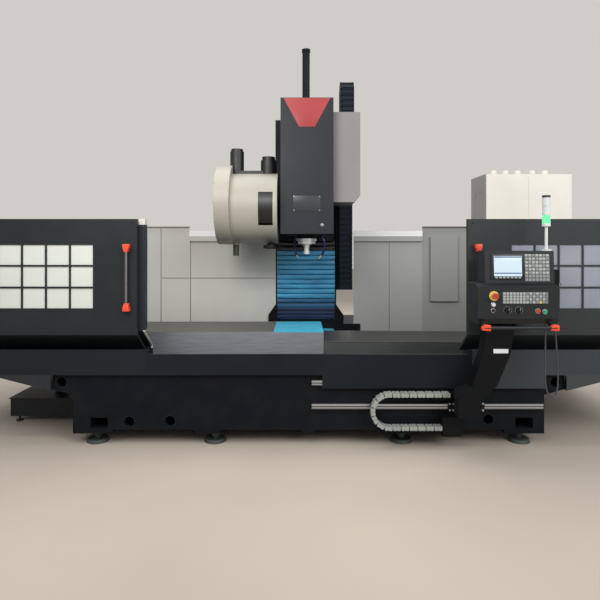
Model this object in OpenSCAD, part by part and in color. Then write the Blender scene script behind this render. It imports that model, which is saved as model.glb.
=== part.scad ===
// Vertical machining centre with a long sliding table, sliding splash-guard doors,
// a side tool magazine and a control pendant that runs on rails along the bed.
// Millimetres. Origin on the floor under the middle of the footprint, +Z up, operator side at -Y.

/* [Overall] */
// Width over the splash guards
machine_w = 6100; // [5800:50:6400]
// Height of the splash guards above the floor
guard_top = 1808; // [1700:4:1900]
// Sheet metal thickness of guards and covers
sheet_t = 4; // [3:1:6]

/* [Bed] */
// Width of the bed casting at the floor
bed_w = 3780; // [3700:20:3900]
// Height of the bed's guideway face
bed_top = 500; // [480:5:505]
// Height of the bed's front gutter lip
lip_top = 565; // [560:1:570]
// Height of the levelling feet
foot_h = 88; // [60:4:100]

/* [Table] */
// Length of the table
table_l = 2290; // [2000:10:2300]
// Width of the table
table_w = 615; // [560:5:640]
// Height of the table's top face
table_top = 818; // [800:2:860]
// Table centre at rest, left of the bed's middle
table_rest_x = -1000; // [-1010:5:-900]
// Width of each T-slot at the table face
slot_w = 22; // [18:1:26]
// Distance between T-slots
slot_pitch = 110; // [100:5:120]

/* [Column and head] */
// Height of the column
column_top = 3060; // [2980:20:3100]
// Half of the column's width
column_hw = 355; // [340:5:370]
// Distance of the spindle axis behind the frame's origin
spindle_y = 88; // [60:4:120]
// Width of the head's front cover
cover_w = 516; // [490:2:520]

/* [Doors] */
// Width of one sliding door
door_w = 1340; // [1300:10:1400]
// Inner edge of the left door when it is open
left_door_edge = -1374; // [-1400:2:-1330]
// Inner edge of the right door when it is open
right_door_edge = 1276; // [1270:2:1330]
// Window panes across one door
pane_columns = 4; // [3:1:5]
// Window panes from top to bottom
pane_rows = 3; // [2:1:4]

/* [Pendant] */
// Width of the control box
box_w = 590; // [560:5:620]
// Height of the pendant's upper edge
box_top = 1556; // [1500:4:1600]
// Height of the signal tower's top
tower_top = 1975; // [1900:5:2000]

/* [Hidden] */
$fn = 48;
run_gap = 0.6;
seat_gap = 0.3;
half_w = machine_w / 2;

bed_front = -1050;
bed_back = 760;
bed_rear = 1480;
bed_rear_hw = 620;
bed_rear_top = 700;
shoulder_x = bed_w / 2 + 160;
shoulder_z = 400;
trough_hw = 120;
trough_z = 380;
lip_d = 30;

guard_in = 1330;
guard_front = -990;
guard_low_y = -760;
guard_back = 740;
skirt_top_z = 900;
skirt_low_z = 735;
apron_y = -1090;
apron_step = 1270;
apron_side_top = 765;
apron_mid_top = 730;
rail_cover_low = 460;
rail_cover_x0 = 110;
rail_cover_x1 = 1880;
pan_flat_x = 2521;
pan_low_z = 441;
post_w = 40;
post_d = 70;
flange_w = 30;

door_front = -1060;
door_t = 45;
door_skirt_y = -830;
door_skirt_z = 715;
door_skirt_top = 880;
window_margin = 344;
pane_pitch_x = 192;
pane_pitch_z = 174;
window_top = 1608;
bar_w = 14;
window_w = pane_columns * pane_pitch_x;
window_h = pane_rows * pane_pitch_z;
track_y = -830;
track_t = 6;
track_top = 670;

column_front = 860;
column_back = 1510;
rail_w = 45;
rail_d = 40;
column_rail_x = 250;
z_screw_y = 834;
chain_front_y = 620 + seat_gap;
chain_rear_y = 820 + seat_gap;
z_screw_r = 20;
z_screw_low = 1185;
window_first = 1300;
chain_plate_low = 1080;
chain_plate_top = column_top - 60;
y_screw_r = 22;
x_screw_r = 20;

saddle_front = -490;
saddle_back = 65;
saddle_hl = 1750;
saddle_low = 536;
saddle_top = 690;
x_rail_h = 25;
x_rail_w = 35;
x_rail_y = [-410, -15];
y_rail_x = [-1500, -500, 500, 1500];
y_rail_h = 35;
screw_z = 450;
screw_block_d = 60;
screw_front_y = -760;
screw_rear_y = 630;
x_screw_z = 650;
mid_y = (saddle_front + saddle_back) / 2;
x_wall = saddle_hl - 150;
end_reach = 1075;
end_plate_x = table_l / 2 + end_reach;
end_plate_t = 6;

table_front = -520;
table_back = table_front + table_w;
table_low = 718;
table_skirt_low = 610;
table_skirt_t = 12;
x_cover_top = 727;

z_cover_y = 738;
z_cover_hw = 330;
z_cover_low = 935;
z_cover_high = 1645 - seat_gap;
cover_foot_y = 722;
y_cover_z = 648;
y_cover_x = 320;

head_low = 1700;
head_rear_low = 1645;
head_top = column_top - 160;
head_hw = 200;
head_back = 812;
cover_front_y = -162;
cover_back_y = 480;
cover_low = 1709;
cover_top = column_top - 25;

magazine_x = -786;
magazine_z = 1972;
magazine_r = 352;
arm_x = -360;
arm_z = 1566;
arm_t = 34;
arm_shaft_r = 38;

rail_y0 = -1075;
pendant_rail_z = [311, 499];
carriage_x0 = 1110;
carriage_x1 = 1400;
box_x0 = 1230;
box_low = 1022;
box_front = -1424;
box_back = -1180;
swivel_x = 1500;
swivel_y = -1270;

// A box given by its two corners
module span(a, b) translate(a) cube([b[0] - a[0], b[1] - a[1], b[2] - a[2]]);

// A profile in the XZ plane, carried from y0 to y1
module along_y(y0, y1) translate([0, y1, 0]) rotate([90, 0, 0]) linear_extrude(y1 - y0) children();

// A profile in the YZ plane, carried from x0 to x1
module along_x(x0, x1) translate([x0, 0, 0]) rotate([90, 0, 90]) linear_extrude(x1 - x0) children();

// A cylinder along X, Y or Z from a point
module rod_x(p, r, l) translate(p) rotate([0, 90, 0]) cylinder(r = r, h = l);
module rod_y(p, r, l) translate(p) rotate([-90, 0, 0]) cylinder(r = r, h = l);
module rod_z(p, r, l) translate(p) cylinder(r = r, h = l);

bed_section = [
    [-bed_w / 2, foot_h], [bed_w / 2, foot_h], [bed_w / 2, shoulder_z], [shoulder_x, shoulder_z + 41],
    [shoulder_x, lip_top], [bed_w / 2, lip_top], [bed_w / 2, bed_top], [-bed_w / 2, bed_top],
    [-bed_w / 2, lip_top], [-shoulder_x, lip_top], [-shoulder_x, shoulder_z + 41], [-bed_w / 2, shoulder_z]
];
front_feet_x = [-1720, -760, 760, 1720];
foot_rows_y = [-960, -150, 650];
column_feet_x = [-480, 480];
column_foot_y = 1380;

module bed() color([0.12, 0.12, 0.13]) {
    bed_casting();
    for (y = [screw_front_y, screw_rear_y]) screw_block_y(y);
}

module bed_casting() difference() {
    union() {
        along_y(bed_front, bed_back) polygon(bed_section);
        span([-bed_w / 2, bed_front, bed_top - 1], [bed_w / 2, bed_front + lip_d, lip_top]);
        span([-bed_rear_hw, bed_back - 1, foot_h], [bed_rear_hw, bed_rear, bed_rear_top]);
        span([-bed_rear_hw, cover_foot_y, bed_top - 1], [-trough_hw, bed_back, bed_rear_top]);
        span([trough_hw, cover_foot_y, bed_top - 1], [bed_rear_hw, bed_back, bed_rear_top]);
    }
    span([-trough_hw, bed_front + 60, trough_z], [trough_hw, bed_back - 60, bed_top + 1]);
    for (p = [[68 - shoulder_x, 500], [-1438, 183], [-1111, 189], [1442, 200], [shoulder_x - 68, 500]])
        rod_y([p[0], bed_front - 1, p[1]], 48, 160);
    for (x = [-1680, 1730]) span([x - 70, bed_front - 1, 130], [x + 70, bed_front + 220, 215]);
    for (x = [-1240, -380, 380, 1240])
        span([x - 330, bed_front - 1, foot_h - 1], [x + 330, bed_back + 1, foot_h + 30]);
    for (side = [-1, 1]) for (z = [250, 480])
        translate([side * bed_rear_hw, 1120, z]) rotate([0, 90, 0]) cylinder(r = 70, h = 200, center = true);
    for (x = [-1240, 1240]) span([x - 420, -700, 300], [x + 420, 500, bed_top - 120]);
}

// One levelling foot: pad, screw and nut
module levelling_foot(x, y) translate([x, y, 0]) {
    cylinder(r1 = 90, r2 = 78, h = 26);
    translate([0, 0, 25]) cylinder(r = 20, h = foot_h - 25);
    translate([0, 0, 44]) cylinder(r = 36, h = 22, $fn = 6);
}

module levelling_feet() color([0.25, 0.3, 0.27]) {
    for (x = front_feet_x) for (y = foot_rows_y) levelling_foot(x, y);
    for (x = column_feet_x) levelling_foot(x, column_foot_y);
}

module column() color([0.2, 0.22, 0.23]) difference() {
    union() {
        along_x(-column_hw, column_hw) polygon([
            [column_front, bed_rear_top], [column_back - 30, bed_rear_top], [column_back - 30, 1200],
            [1330, column_top], [column_front, column_top]
        ]);
        for (z = [[1180, 1240], [column_top - 60, column_top]])
            span([-70, column_front - 44, z[0]], [70, column_front + 1, z[1]]);
        span([column_hw - 1, chain_rear_y, chain_plate_low], [z_chain_x + z_chain_w, chain_rear_y + 10, chain_plate_top]);
        span([column_hw - 1, chain_rear_y + 1, chain_plate_low], [column_hw + 10, column_front + 60, chain_plate_top]);
        span([-300, column_back - 31, 900], [300, column_back, 1150]);
    }
    rod_z([0, z_screw_y, z_screw_low - 85], z_screw_r + seat_gap, column_top - z_screw_low + 90);
    for (row = [0:3], side = [-1, 1]) {
        z = window_first + row * (column_top - 500 - window_first) / 3;
        span([side * 170 - 120, 1180, z], [side * 170 + 120, 1600, z + 330]);
    }
}

module guide_rails() color([0.7, 0.7, 0.72]) {
    for (x = y_rail_x) span([x - rail_w / 2, -940, bed_top], [x + rail_w / 2, 690, bed_top + y_rail_h]);
    for (side = [-1, 1])
        span([side * column_rail_x - rail_w / 2, column_front - rail_d, 1000],
             [side * column_rail_x + rail_w / 2, column_front, column_top - 80]);
}

// A servo motor standing on its flange, shaft side down
module servo_motor(s) {
    span([-s, -s, 0], [s, s, 18]);
    cylinder(r = s * 0.92, h = s * 2.6);
    translate([0, 0, s * 2.6]) cylinder(r = s * 0.78, h = s * 0.5);
    span([-s * 0.4, s * 0.6, s * 1.4], [s * 0.4, s * 1.25, s * 2.2]);
}

module axis_motors() color([0.06, 0.06, 0.07]) {
    translate([0, z_screw_y, column_top]) servo_motor(62);
    translate([0, screw_front_y - seat_gap, screw_z]) rotate([90, 0, 0]) servo_motor(50);
}

// Splash guard of one side, drawn for the right and mirrored for the left
guard_front_section = [
    [guard_front, guard_top], [guard_front, skirt_top_z], [guard_low_y, skirt_low_z], [guard_low_y, lip_top + 4],
    [guard_low_y + sheet_t, lip_top + 4], [guard_low_y + sheet_t, skirt_low_z + 2],
    [guard_front + sheet_t, skirt_top_z + 2], [guard_front + sheet_t, guard_top]
];

module guard(door_edge) {
    w0 = door_edge + window_margin - 25;
    difference() {
        along_x(guard_in, half_w - sheet_t) polygon(guard_front_section);
        span([w0, guard_front - 1, window_top - window_h - 25],
             [w0 + window_w + 50, guard_front + sheet_t + 1, window_top + 25]);
    }
    span([guard_in, guard_front + sheet_t, skirt_top_z + 10], [guard_in + post_w, guard_front + post_d, guard_top]);
    along_x(half_w - sheet_t, half_w) polygon([
        [guard_front, guard_top], [guard_front, skirt_top_z], [guard_low_y, skirt_low_z], [guard_low_y, lip_top + 4],
        [guard_back, lip_top + 4], [guard_back, guard_top]
    ]);
    span([guard_in, guard_back - sheet_t, bed_top + 70], [half_w - sheet_t, guard_back, guard_top]);
    span([guard_in, guard_back - flange_w, guard_top], [half_w, guard_back, guard_top + sheet_t]);
    span([guard_in, guard_front, guard_top], [half_w, guard_front + flange_w, guard_top + sheet_t]);
    span([half_w - flange_w, guard_front + flange_w, guard_top], [half_w, guard_back - flange_w, guard_top + sheet_t]);
    along_y(apron_y + sheet_t, guard_back) polygon([
        [half_w, lip_top], [pan_flat_x, lip_top], [shoulder_x, pan_low_z + sheet_t],
        [shoulder_x, pan_low_z], [pan_flat_x, lip_top - sheet_t], [half_w, lip_top - sheet_t]
    ]);
    along_y(apron_y, apron_y + sheet_t) polygon([
        [shoulder_x, pan_low_z], [pan_flat_x, lip_top - sheet_t], [half_w, lip_top - sheet_t],
        [half_w, lip_top], [shoulder_x, lip_top]
    ]);
    for (y = [guard_low_y, guard_back - sheet_t])
        span([pan_flat_x, y, lip_top - 1], [half_w, y + sheet_t, lip_top + 5]);
}

module left_guard() color([0.2, 0.22, 0.23]) mirror([1, 0, 0]) guard(-left_door_edge);
module right_guard() color([0.2, 0.22, 0.23]) {
    guard(right_door_edge);
    span([1422, guard_back - 34, 958], [1731, guard_back - sheet_t + 1, 1692]);
}

module back_guard() color([0.72, 0.71, 0.67]) difference() {
    for (side = [-1, 1]) back_panel(side < 0 ? -guard_in : column_hw + 190, side < 0 ? 10 - column_hw : guard_in);
    span([-bed_rear_hw - seat_gap, guard_back - 60, bed_top],
         [bed_rear_hw + seat_gap, guard_back + 60, bed_rear_top + seat_gap]);
}

module back_panel(x0, x1) {
    top = guard_top - 46;
    span([x0, guard_back - sheet_t, bed_top + seat_gap], [x1, guard_back, top]);
    span([x0, guard_back - flange_w, top - 120], [x1, guard_back, top]);
    xm = (x0 + x1) / 2;
    span([xm - 20, guard_back, bed_top + seat_gap], [xm + 20, guard_back + 20, top]);
}

module front_apron() color([0.15, 0.16, 0.17]) {
    for (side = [-1, 1]) {
        a = side < 0 ? -half_w : apron_step;
        b = side < 0 ? -apron_step : half_w;
        span([a, apron_y, lip_top], [b, apron_y + sheet_t, apron_side_top]);
        span([a, apron_y + sheet_t, apron_side_top - sheet_t], [b, apron_y + flange_w - 2, apron_side_top]);
    }
    span([-apron_step, apron_y, lip_top], [apron_step, apron_y + sheet_t, apron_mid_top]);
    span([-apron_step, apron_y + sheet_t, apron_mid_top - sheet_t], [apron_step, apron_y + flange_w - 2, apron_mid_top]);
    span([-half_w, apron_y + sheet_t, lip_top], [half_w, guard_low_y, lip_top + sheet_t]);
    span([rail_cover_x0, apron_y, rail_cover_low], [rail_cover_x1, apron_y + sheet_t, lip_top]);
    span([-half_w + 200, track_y - track_t / 2, lip_top + sheet_t], [half_w - 200, track_y + track_t / 2, track_top]);
}

rail_x1 = bed_w / 2 - 17;
module pendant_rails() color([0.75, 0.75, 0.76]) for (z = pendant_rail_z) difference() {
    span([26, rail_y0, z - 20], [rail_x1, bed_front, z + 20]);
    span([25, rail_y0 - 1, z - 4], [rail_x1 + 1, rail_y0 + 5, z + 4]);
}

// Outline of a drag chain: straight runs and half-turn with link plates standing proud
module chain_outline(run_a, run_b, r, core, plate, pitch) {
    translate([0, -r - core / 2]) square([run_a, core]);
    translate([0, r - core / 2]) square([run_b, core]);
    difference() {
        circle(r = r + core / 2);
        circle(r = r - core / 2);
        translate([0, -2 * r]) square([2 * r, 4 * r]);
    }
    for (x = [pitch / 2:pitch:run_a - pitch / 2]) translate([x, -r]) square([pitch * 0.72, plate], center = true);
    for (x = [pitch / 2:pitch:run_b - pitch / 2]) translate([x, r]) square([pitch * 0.72, plate], center = true);
    n = round(180 * r * PI / 180 / pitch);
    for (i = [0:n - 1]) rotate(180 / n * (i + 0.5) + 90)
        translate([r, 0]) square([plate, pitch * 0.72], center = true);
}

chain_r = 130;
chain_z = 295;
chain_plate = 36;
chain_x = 634;
chain_run = 413;
chain_y0 = -1160;
chain_y1 = -1100;
module pendant_chain() color([0.3, 0.31, 0.32])
    translate([chain_x, 0, chain_z]) along_y(chain_y0, chain_y1)
        chain_outline(chain_run, carriage_x0 - seat_gap - chain_x, chain_r, 26, chain_plate, 42);

module chain_tray() color([0.2, 0.2, 0.21]) {
    end_x = chain_x + chain_run + seat_gap;
    tray_top = chain_z - chain_r - chain_plate / 2 - 3 * seat_gap;
    span([560, -1170, tray_top - 5], [end_x + 1, -1089, tray_top]);
    span([560, -1094, tray_top - 1], [end_x + 1, -1090, tray_top + 12]);
    for (x = [620, 960]) span([x, -1090, tray_top - 5], [x + 40, bed_front, tray_top + 12]);
    span([end_x, -1165, 105], [end_x + 140, -1089, 255]);
    span([end_x, -1090, 140], [end_x + 40, bed_front, 180]);
}

cabinet_x = shoulder_x + 10;
cabinet_w = half_w - cabinet_x;
eye_places = [13, 27, 41, 58, 73] / 99;
cabinet_y = guard_back + 5;
cabinet_low = 300;
cabinet_top = 2416;
cabinet_depth = 500;
module electrical_cabinet() color([0.88, 0.85, 0.8]) {
    difference() {
        span([cabinet_x, cabinet_y, cabinet_low], [half_w, cabinet_y + cabinet_depth, cabinet_top]);
        span([half_w - 498, cabinet_y - 1, cabinet_low + 30], [half_w - 494, cabinet_y + 3, cabinet_top - 26]);
        for (z = [700, 1500, 2100]) span([cabinet_x - 1, 900, z], [cabinet_x + 2, 1100, z + 120]);
    }
    for (x = [cabinet_x + 70, half_w - 110]) for (y = [cabinet_y + 55, cabinet_y + cabinet_depth - 55])
        span([x - 40, y - 40, 0], [x + 40, y + 40, cabinet_low]);
    for (share = eye_places) rod_z([cabinet_x + share * cabinet_w, cabinet_y + 105, cabinet_top], 34, 50);
    span([cabinet_x + 1, guard_back, lip_top + 40], [cabinet_x + 80, cabinet_y, 1700]);
}

tank_hw = 365;
tank_x = -bed_w / 2 - 70 - tank_hw;
tank_y0 = -510;
tank_y1 = -130;
tank_low = 50;
tank_top = 210;
module coolant_tank() color([0.1, 0.1, 0.11]) {
    difference() {
        span([tank_x - tank_hw, tank_y0, tank_low], [tank_x + tank_hw, tank_y1, tank_top]);
        span([tank_x + 10 - tank_hw, tank_y0 + 10, tank_low + 10], [tank_x - 10 + tank_hw, tank_y1 - 10, tank_top + 1]);
    }
    span([tank_x - tank_hw - 10, tank_y0 - 10, tank_top], [tank_x + tank_hw + 10, tank_y1 + 10, tank_top + 6]);
    for (x = [tank_x - 300, tank_x + 300]) for (y = [tank_y0 + 40, tank_y1 - 40]) {
        rod_z([x, y, 0], 30, 14);
        rod_z([x, y, 13], 9, tank_low - 12);
    }
    rod_z([tank_x, tank_y1 - 150, tank_top + 6], 60, 120);
}

cylinder_y = 560;
balance_rod_r = 14;
piston_r = 29;
module balance_cylinder() color([0.2, 0.21, 0.22]) difference() {
    union() {
        for (side = [-1, 1]) span([side * 100 - 20, cylinder_y + 40, column_top], [side * 100 + 20, 1200, column_top + 50]);
        span([-120, cylinder_y - 70, column_top], [120, cylinder_y + 70, column_top + 50]);
        rod_z([0, cylinder_y, column_top + 49], 42, 650);
        rod_z([0, cylinder_y, column_top + 680], 48, 30);
    }
    rod_z([0, cylinder_y, column_top - 1], balance_rod_r + run_gap, 100);
    rod_z([0, cylinder_y, column_top + 60], piston_r + 1, 625);
}

module balance_rod() color([0.75, 0.75, 0.76]) {
    rod_z([0, cylinder_y, head_top], balance_rod_r, column_top + 670 - head_top);
    rod_z([0, cylinder_y, column_top + 640], piston_r, 30);
}

module magazine_drum(extra = 0) rod_x([magazine_x, spindle_y, magazine_z], magazine_r + extra, 496);

bracket_low = guard_top + 12;
bracket_top = 2120;
module magazine_bracket() color([0.2, 0.22, 0.23]) difference() {
    union() {
        span([-700, 300, bracket_low], [-500, 1000, bracket_top]);
        span([-501, 900, bracket_low], [-column_hw, 1000, bracket_top]);
    }
    magazine_drum(seat_gap);
}

rim_x = -890;
disc_x1 = -745;
disc_z = 2006;
disc_r = 400;
disc_shaft_r = 25;
module magazine_disc(extra = 0)
    rod_x([rim_x - extra, spindle_y, disc_z], disc_r + extra, disc_x1 - rim_x + 2 * extra);

module magazine_cover() color([0.82, 0.8, 0.74]) {
    difference() {
        union() {
            magazine_drum();
            magazine_disc();
        }
        rod_x([magazine_x - 50, spindle_y, magazine_z], magazine_r - sheet_t, 496 + 50 - sheet_t);
        rod_x([rim_x + sheet_t, spindle_y, disc_z], disc_r - 15, disc_x1 - rim_x - 2 * sheet_t);
        span([-470, spindle_y - 380, 1790], [-330, spindle_y - 250, 2110]);
        rod_z([arm_x, spindle_y, 1600], arm_shaft_r + seat_gap, 61.5);
    }
    rod_x([rim_x + 1, spindle_y, disc_z], disc_shaft_r - seat_gap, 120);
    rod_z([2 * arm_x, spindle_y, 1490], 30, 115);
    rod_z([2 * arm_x, spindle_y, arm_z + arm_t + 4], 38, 25);
}

// Pots round the tool disc
pot_count = 24;
module carousel() color([0.35, 0.36, 0.38]) translate([rim_x + 30, spindle_y, disc_z]) rotate([0, 90, 0]) difference() {
    union() {
        cylinder(r = 290, h = 30);
        cylinder(r = 60, h = 70);
        for (i = [0:pot_count - 1]) rotate(i * 360 / pot_count) translate([300, 0, 0]) cylinder(r = 36, h = 80, $fn = 20);
    }
    translate([0, 0, -1]) cylinder(r = disc_shaft_r, h = 100);
    for (i = [0:pot_count - 1]) rotate(i * 360 / pot_count) translate([300, 0, 30]) cylinder(r = 22, h = 80, $fn = 20);
}

module magazine_motors() color([0.07, 0.07, 0.08]) difference() {
    union() {
        rod_z([-710, spindle_y, 2300], 70, 250);
        rod_z([-710, spindle_y, 2549], 60, 26);
        rod_z([-388, spindle_y, 2300], 80, 160);
        rod_z([-388, spindle_y, 2459], 66, 36);
        span([-700, spindle_y - 60, 2300], [-400, spindle_y + 60, 2350]);
    }
    magazine_drum(seat_gap);
    magazine_disc(seat_gap);
}

module cover_foot() color([0.06, 0.06, 0.07]) {
    foot_z = bed_rear_top + seat_gap;
    along_y(cover_foot_y, cover_foot_y + 14 - seat_gap) polygon([
        [-430, foot_z], [430, foot_z], [430, 800], [335, z_cover_low], [-335, z_cover_low], [-430, 800]
    ]);
    span([-335, cover_foot_y + 13, z_cover_low - 10], [335, column_front, z_cover_low]);
    for (side = [-1, 1]) span([side * 300 - 20, cover_foot_y + 13, foot_z], [side * 300 + 20, column_front, 790]);
}

// Folded way cover: a stack of ribs that closes up as the head comes down
fold_count = 26;
module z_cover() color([0.14, 0.4, 0.55]) {
    pitch = (z_cover_high - z_cover_low) / fold_count;
    along_x(-z_cover_hw, z_cover_hw) polygon(concat(
        [for (i = [0:fold_count - 1]) each [
            [z_cover_y, z_cover_low + i * pitch], [z_cover_y - 14, z_cover_low + (i + 0.5) * pitch]]],
        [[z_cover_y, z_cover_high], [z_cover_y + 22, z_cover_high]],
        [for (i = [fold_count - 1:-1:0]) each [
            [z_cover_y + 8, z_cover_low + (i + 0.5) * pitch], [z_cover_y + 22, z_cover_low + i * pitch]]]
    ));
}

z_chain_x = 385;
z_chain_w = 150;
z_chain_r = 100;
z_chain_z = column_top + 257;
head_end_z = 2400;
column_end_z = 1087;
module z_chain() color([0.1, 0.12, 0.16])
    translate([z_chain_x, 690, z_chain_z]) rotate([90, 0, 90]) linear_extrude(z_chain_w) rotate(-90)
        mirror([0, 1]) chain_outline(z_chain_z - head_end_z, z_chain_z - column_end_z, z_chain_r, 44, 60, 62);

module y_cover() color([0.33, 0.75, 0.85]) {
    y0 = table_back + 8 + seat_gap;
    l = cover_foot_y - y0;
    for (i = [0:4]) span([-y_cover_x + i * 3, y0 + l * i / 5, y_cover_z - i * 2],
        [y_cover_x - i * 3, y0 + l * (i + 1) / 5 - seat_gap, y_cover_z - i * 2 + 8]);
    for (i = [0:4]) for (side = [-1, 1])
        span([side * (y_cover_x - 20) - 4, y0 + l * i / 5, y_cover_z - 40],
             [side * (y_cover_x - 20) + 4, y0 + l * (i + 1) / 5 - seat_gap, y_cover_z - i * 2 + 1]);
}

module y_screw() color([0.72, 0.72, 0.74])
    rod_y([0, screw_front_y, screw_z], y_screw_r, screw_rear_y + screw_block_d - screw_front_y);

module z_screw() color([0.72, 0.72, 0.74]) rod_z([0, z_screw_y, z_screw_low], z_screw_r, column_top - z_screw_low - 1);

module x_screw() color([0.72, 0.72, 0.74])
    rod_x([60 - saddle_hl, mid_y, x_screw_z], x_screw_r, x_wall + saddle_hl - 60);

// Bearing block of a feed screw, bored for it
module screw_block_y(y) difference() {
    span([-60, y, trough_z - 1], [60, y + screw_block_d, screw_z + 45]);
    rod_y([0, y - 1, screw_z], y_screw_r + seat_gap, screw_block_d + 2);
}

module saddle() color([0.2, 0.22, 0.23]) difference() {
    union() {
        span([-saddle_hl, saddle_front, saddle_low], [saddle_hl, saddle_back, saddle_top]);
        for (y = x_rail_y) span([-saddle_hl + 50, y - x_rail_w / 2, saddle_top - 1],
            [saddle_hl - 50, y + x_rail_w / 2, saddle_top + x_rail_h]);
        span([-70, mid_y - 80, screw_z - 50], [70, mid_y + 80, saddle_low + 1]);
        for (side = [-1, 1]) {
            xe = side * end_plate_x;
            for (y = [saddle_front + 20, saddle_back - 60])
                span([min(side * (saddle_hl - 1), xe), y, 620], [max(side * (saddle_hl - 1), xe), y + 40, 680]);
            span([xe - (side < 0 ? 0 : end_plate_t), saddle_front - 20, 600],
                 [xe + (side < 0 ? end_plate_t : 0), saddle_back + 20, x_cover_top]);
        }
        span([-y_cover_x, saddle_back - 1, 580], [y_cover_x, table_back + 8, 604]);
        span([-y_cover_x, table_back + 2, 603], [y_cover_x, table_back + 8, y_cover_z + 8]);
    }
    for (x = y_rail_x) span([x - rail_w / 2 - run_gap, saddle_front - 1, saddle_low - 1],
        [x + rail_w / 2 + run_gap, saddle_back + 1, saddle_low]);
    span([-saddle_hl + 150, mid_y - 60, 600], [saddle_hl - 210, mid_y + 60, saddle_top + 1]);
    span([x_wall, mid_y - 60, 600], [saddle_hl + 1, mid_y + 60, saddle_top + 1]);
    rod_y([0, mid_y - 81, screw_z], y_screw_r + seat_gap, 162);
    rod_x([59 - saddle_hl, mid_y, x_screw_z], x_screw_r + seat_gap, 2 * saddle_hl - 120);
}

module x_motor() color([0.06, 0.06, 0.07])
    translate([x_wall + seat_gap, mid_y, x_screw_z]) rotate([0, 90, 0]) rotate(90) servo_motor(46);

module table() color([0.42, 0.42, 0.43]) difference() {
    x0 = table_rest_x - table_l / 2;
    x1 = table_rest_x + table_l / 2;
    union() {
        span([x0, table_front, table_low], [x1, table_back, table_top]);
        span([x0, table_front, table_skirt_low], [x1, table_front + table_skirt_t, table_low + 1]);
        span([x0, table_back - table_skirt_t, table_skirt_low], [x1, table_back, table_low + 1]);
        for (y = x_rail_y) for (dx = [-600, 600])
            span([table_rest_x + dx - 60, y - 40, saddle_top + 2], [table_rest_x + dx + 60, y + 40, table_low + 1]);
        span([table_rest_x - 80, mid_y - 45, 610], [table_rest_x + 80, mid_y + 45, table_low + 1]);
    }
    for (i = [-2:2]) {
        yc = (table_front + table_back) / 2 + i * slot_pitch;
        span([x0 - 1, yc - slot_w / 2, table_top - 24], [x1 + 1, yc + slot_w / 2, table_top + 1]);
        span([x0 - 1, yc - slot_w * 0.85, table_top - 40], [x1 + 1, yc + slot_w * 0.85, table_top - 22]);
    }
    for (y = x_rail_y) for (dx = [-600, 600])
        span([table_rest_x + dx - 61, y - x_rail_w / 2 - run_gap, saddle_top],
             [table_rest_x + dx + 61, y + x_rail_w / 2 + run_gap, saddle_top + x_rail_h + run_gap]);
    rod_x([table_rest_x - 81, mid_y, x_screw_z], x_screw_r + seat_gap, 162);
}

// Telescopic way cover over the table's guideways, each segment a step smaller
x_segments = 6;
module x_cover(x0, x1, side) {
    l = (x1 - x0) / x_segments;
    for (i = [0:x_segments - 1]) {
        k = side > 0 ? i : x_segments - 1 - i;
        a = x0 + i * l + seat_gap;
        b = x0 + (i + 1) * l - (i == x_segments - 1 ? seat_gap : 0);
        d = k * 1.6;
        difference() {
            span([a, table_front + 10 + d, table_skirt_low], [b, table_back - 2 - d, x_cover_top - d]);
            span([a - 1, table_front + 14 + d, table_skirt_low - 1], [b + 1, table_back - 6 - d, x_cover_top - 3 - d]);
        }
    }
}
module x_cover_right() color([0.36, 0.37, 0.36]) x_cover(table_rest_x + table_l / 2, end_plate_x - end_plate_t, 1);
module x_cover_left() color([0.36, 0.37, 0.36]) x_cover(end_plate_t - end_plate_x, table_rest_x - table_l / 2, -1);

module head() color([0.2, 0.22, 0.23]) difference() {
    union() {
        span([-head_hw, -120, head_low], [head_hw, 700, head_top]);
        span([-300, 699, head_rear_low], [300, head_back, head_top]);
        for (side = [-1, 1]) for (z = [1750, head_top - 300])
            span([side * column_rail_x - 50, head_back - 1, z], [side * column_rail_x + 50, head_back + 38, z + 200]);
        span([-60, head_back - 1, 2100], [60, column_front - 4, 2250]);
        rod_z([0, spindle_y, 1640], 100, 61);
        rod_z([0, spindle_y, 1616], 88, 25);
        span([head_hw - 1, chain_front_y, head_end_z], [z_chain_x + z_chain_w, 640, head_end_z + 60]);
        for (z = [1850, head_top - 250]) for (side = [-1, 1]) {
            xc = cover_w / 2 - sheet_t - seat_gap;
            span([min(side * (head_hw - 1), side * xc), 300, z], [max(side * (head_hw - 1), side * xc), 380, z + 80]);
            span([side * 140 - 30, cover_front_y + sheet_t + seat_gap, z], [side * 140 + 30, -119, z + 80]);
        }
    }
    for (side = [-1, 1])
        span([side * column_rail_x - rail_w / 2 - run_gap, column_front - rail_d - run_gap, head_rear_low - 1],
             [side * column_rail_x + rail_w / 2 + run_gap, column_front, head_top + 1]);
    rod_z([0, z_screw_y, 2099], z_screw_r + seat_gap, 152);
    rod_z([0, spindle_y, 1600], 50 + seat_gap, 200);
}

module head_cover() color([0.24, 0.25, 0.26]) difference() {
    h = cover_w / 2;
    span([-h, cover_front_y, cover_low], [h, cover_back_y, cover_top]);
    span([-h + sheet_t, cover_front_y + sheet_t, cover_low - 1], [h - sheet_t, cover_back_y + 1, cover_top - sheet_t]);
}

side_box_x = 530;
side_box_low = 2026;
side_box_top = 2920;
module side_box() color([0.6, 0.59, 0.58])
    along_y(-60, 400) polygon([
        [cover_w / 2, side_box_low], [side_box_x - 50, side_box_low], [side_box_x, side_box_low + 64],
        [side_box_x, side_box_top], [cover_w / 2, side_box_top]
    ]);

module spindle_motor() color([0.1, 0.1, 0.11]) {
    translate([0, spindle_y, head_top]) cylinder(r = 95, h = 90);
    span([-60, spindle_y + 90, head_top], [60, spindle_y + 150, head_top + 70]);
}

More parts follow.
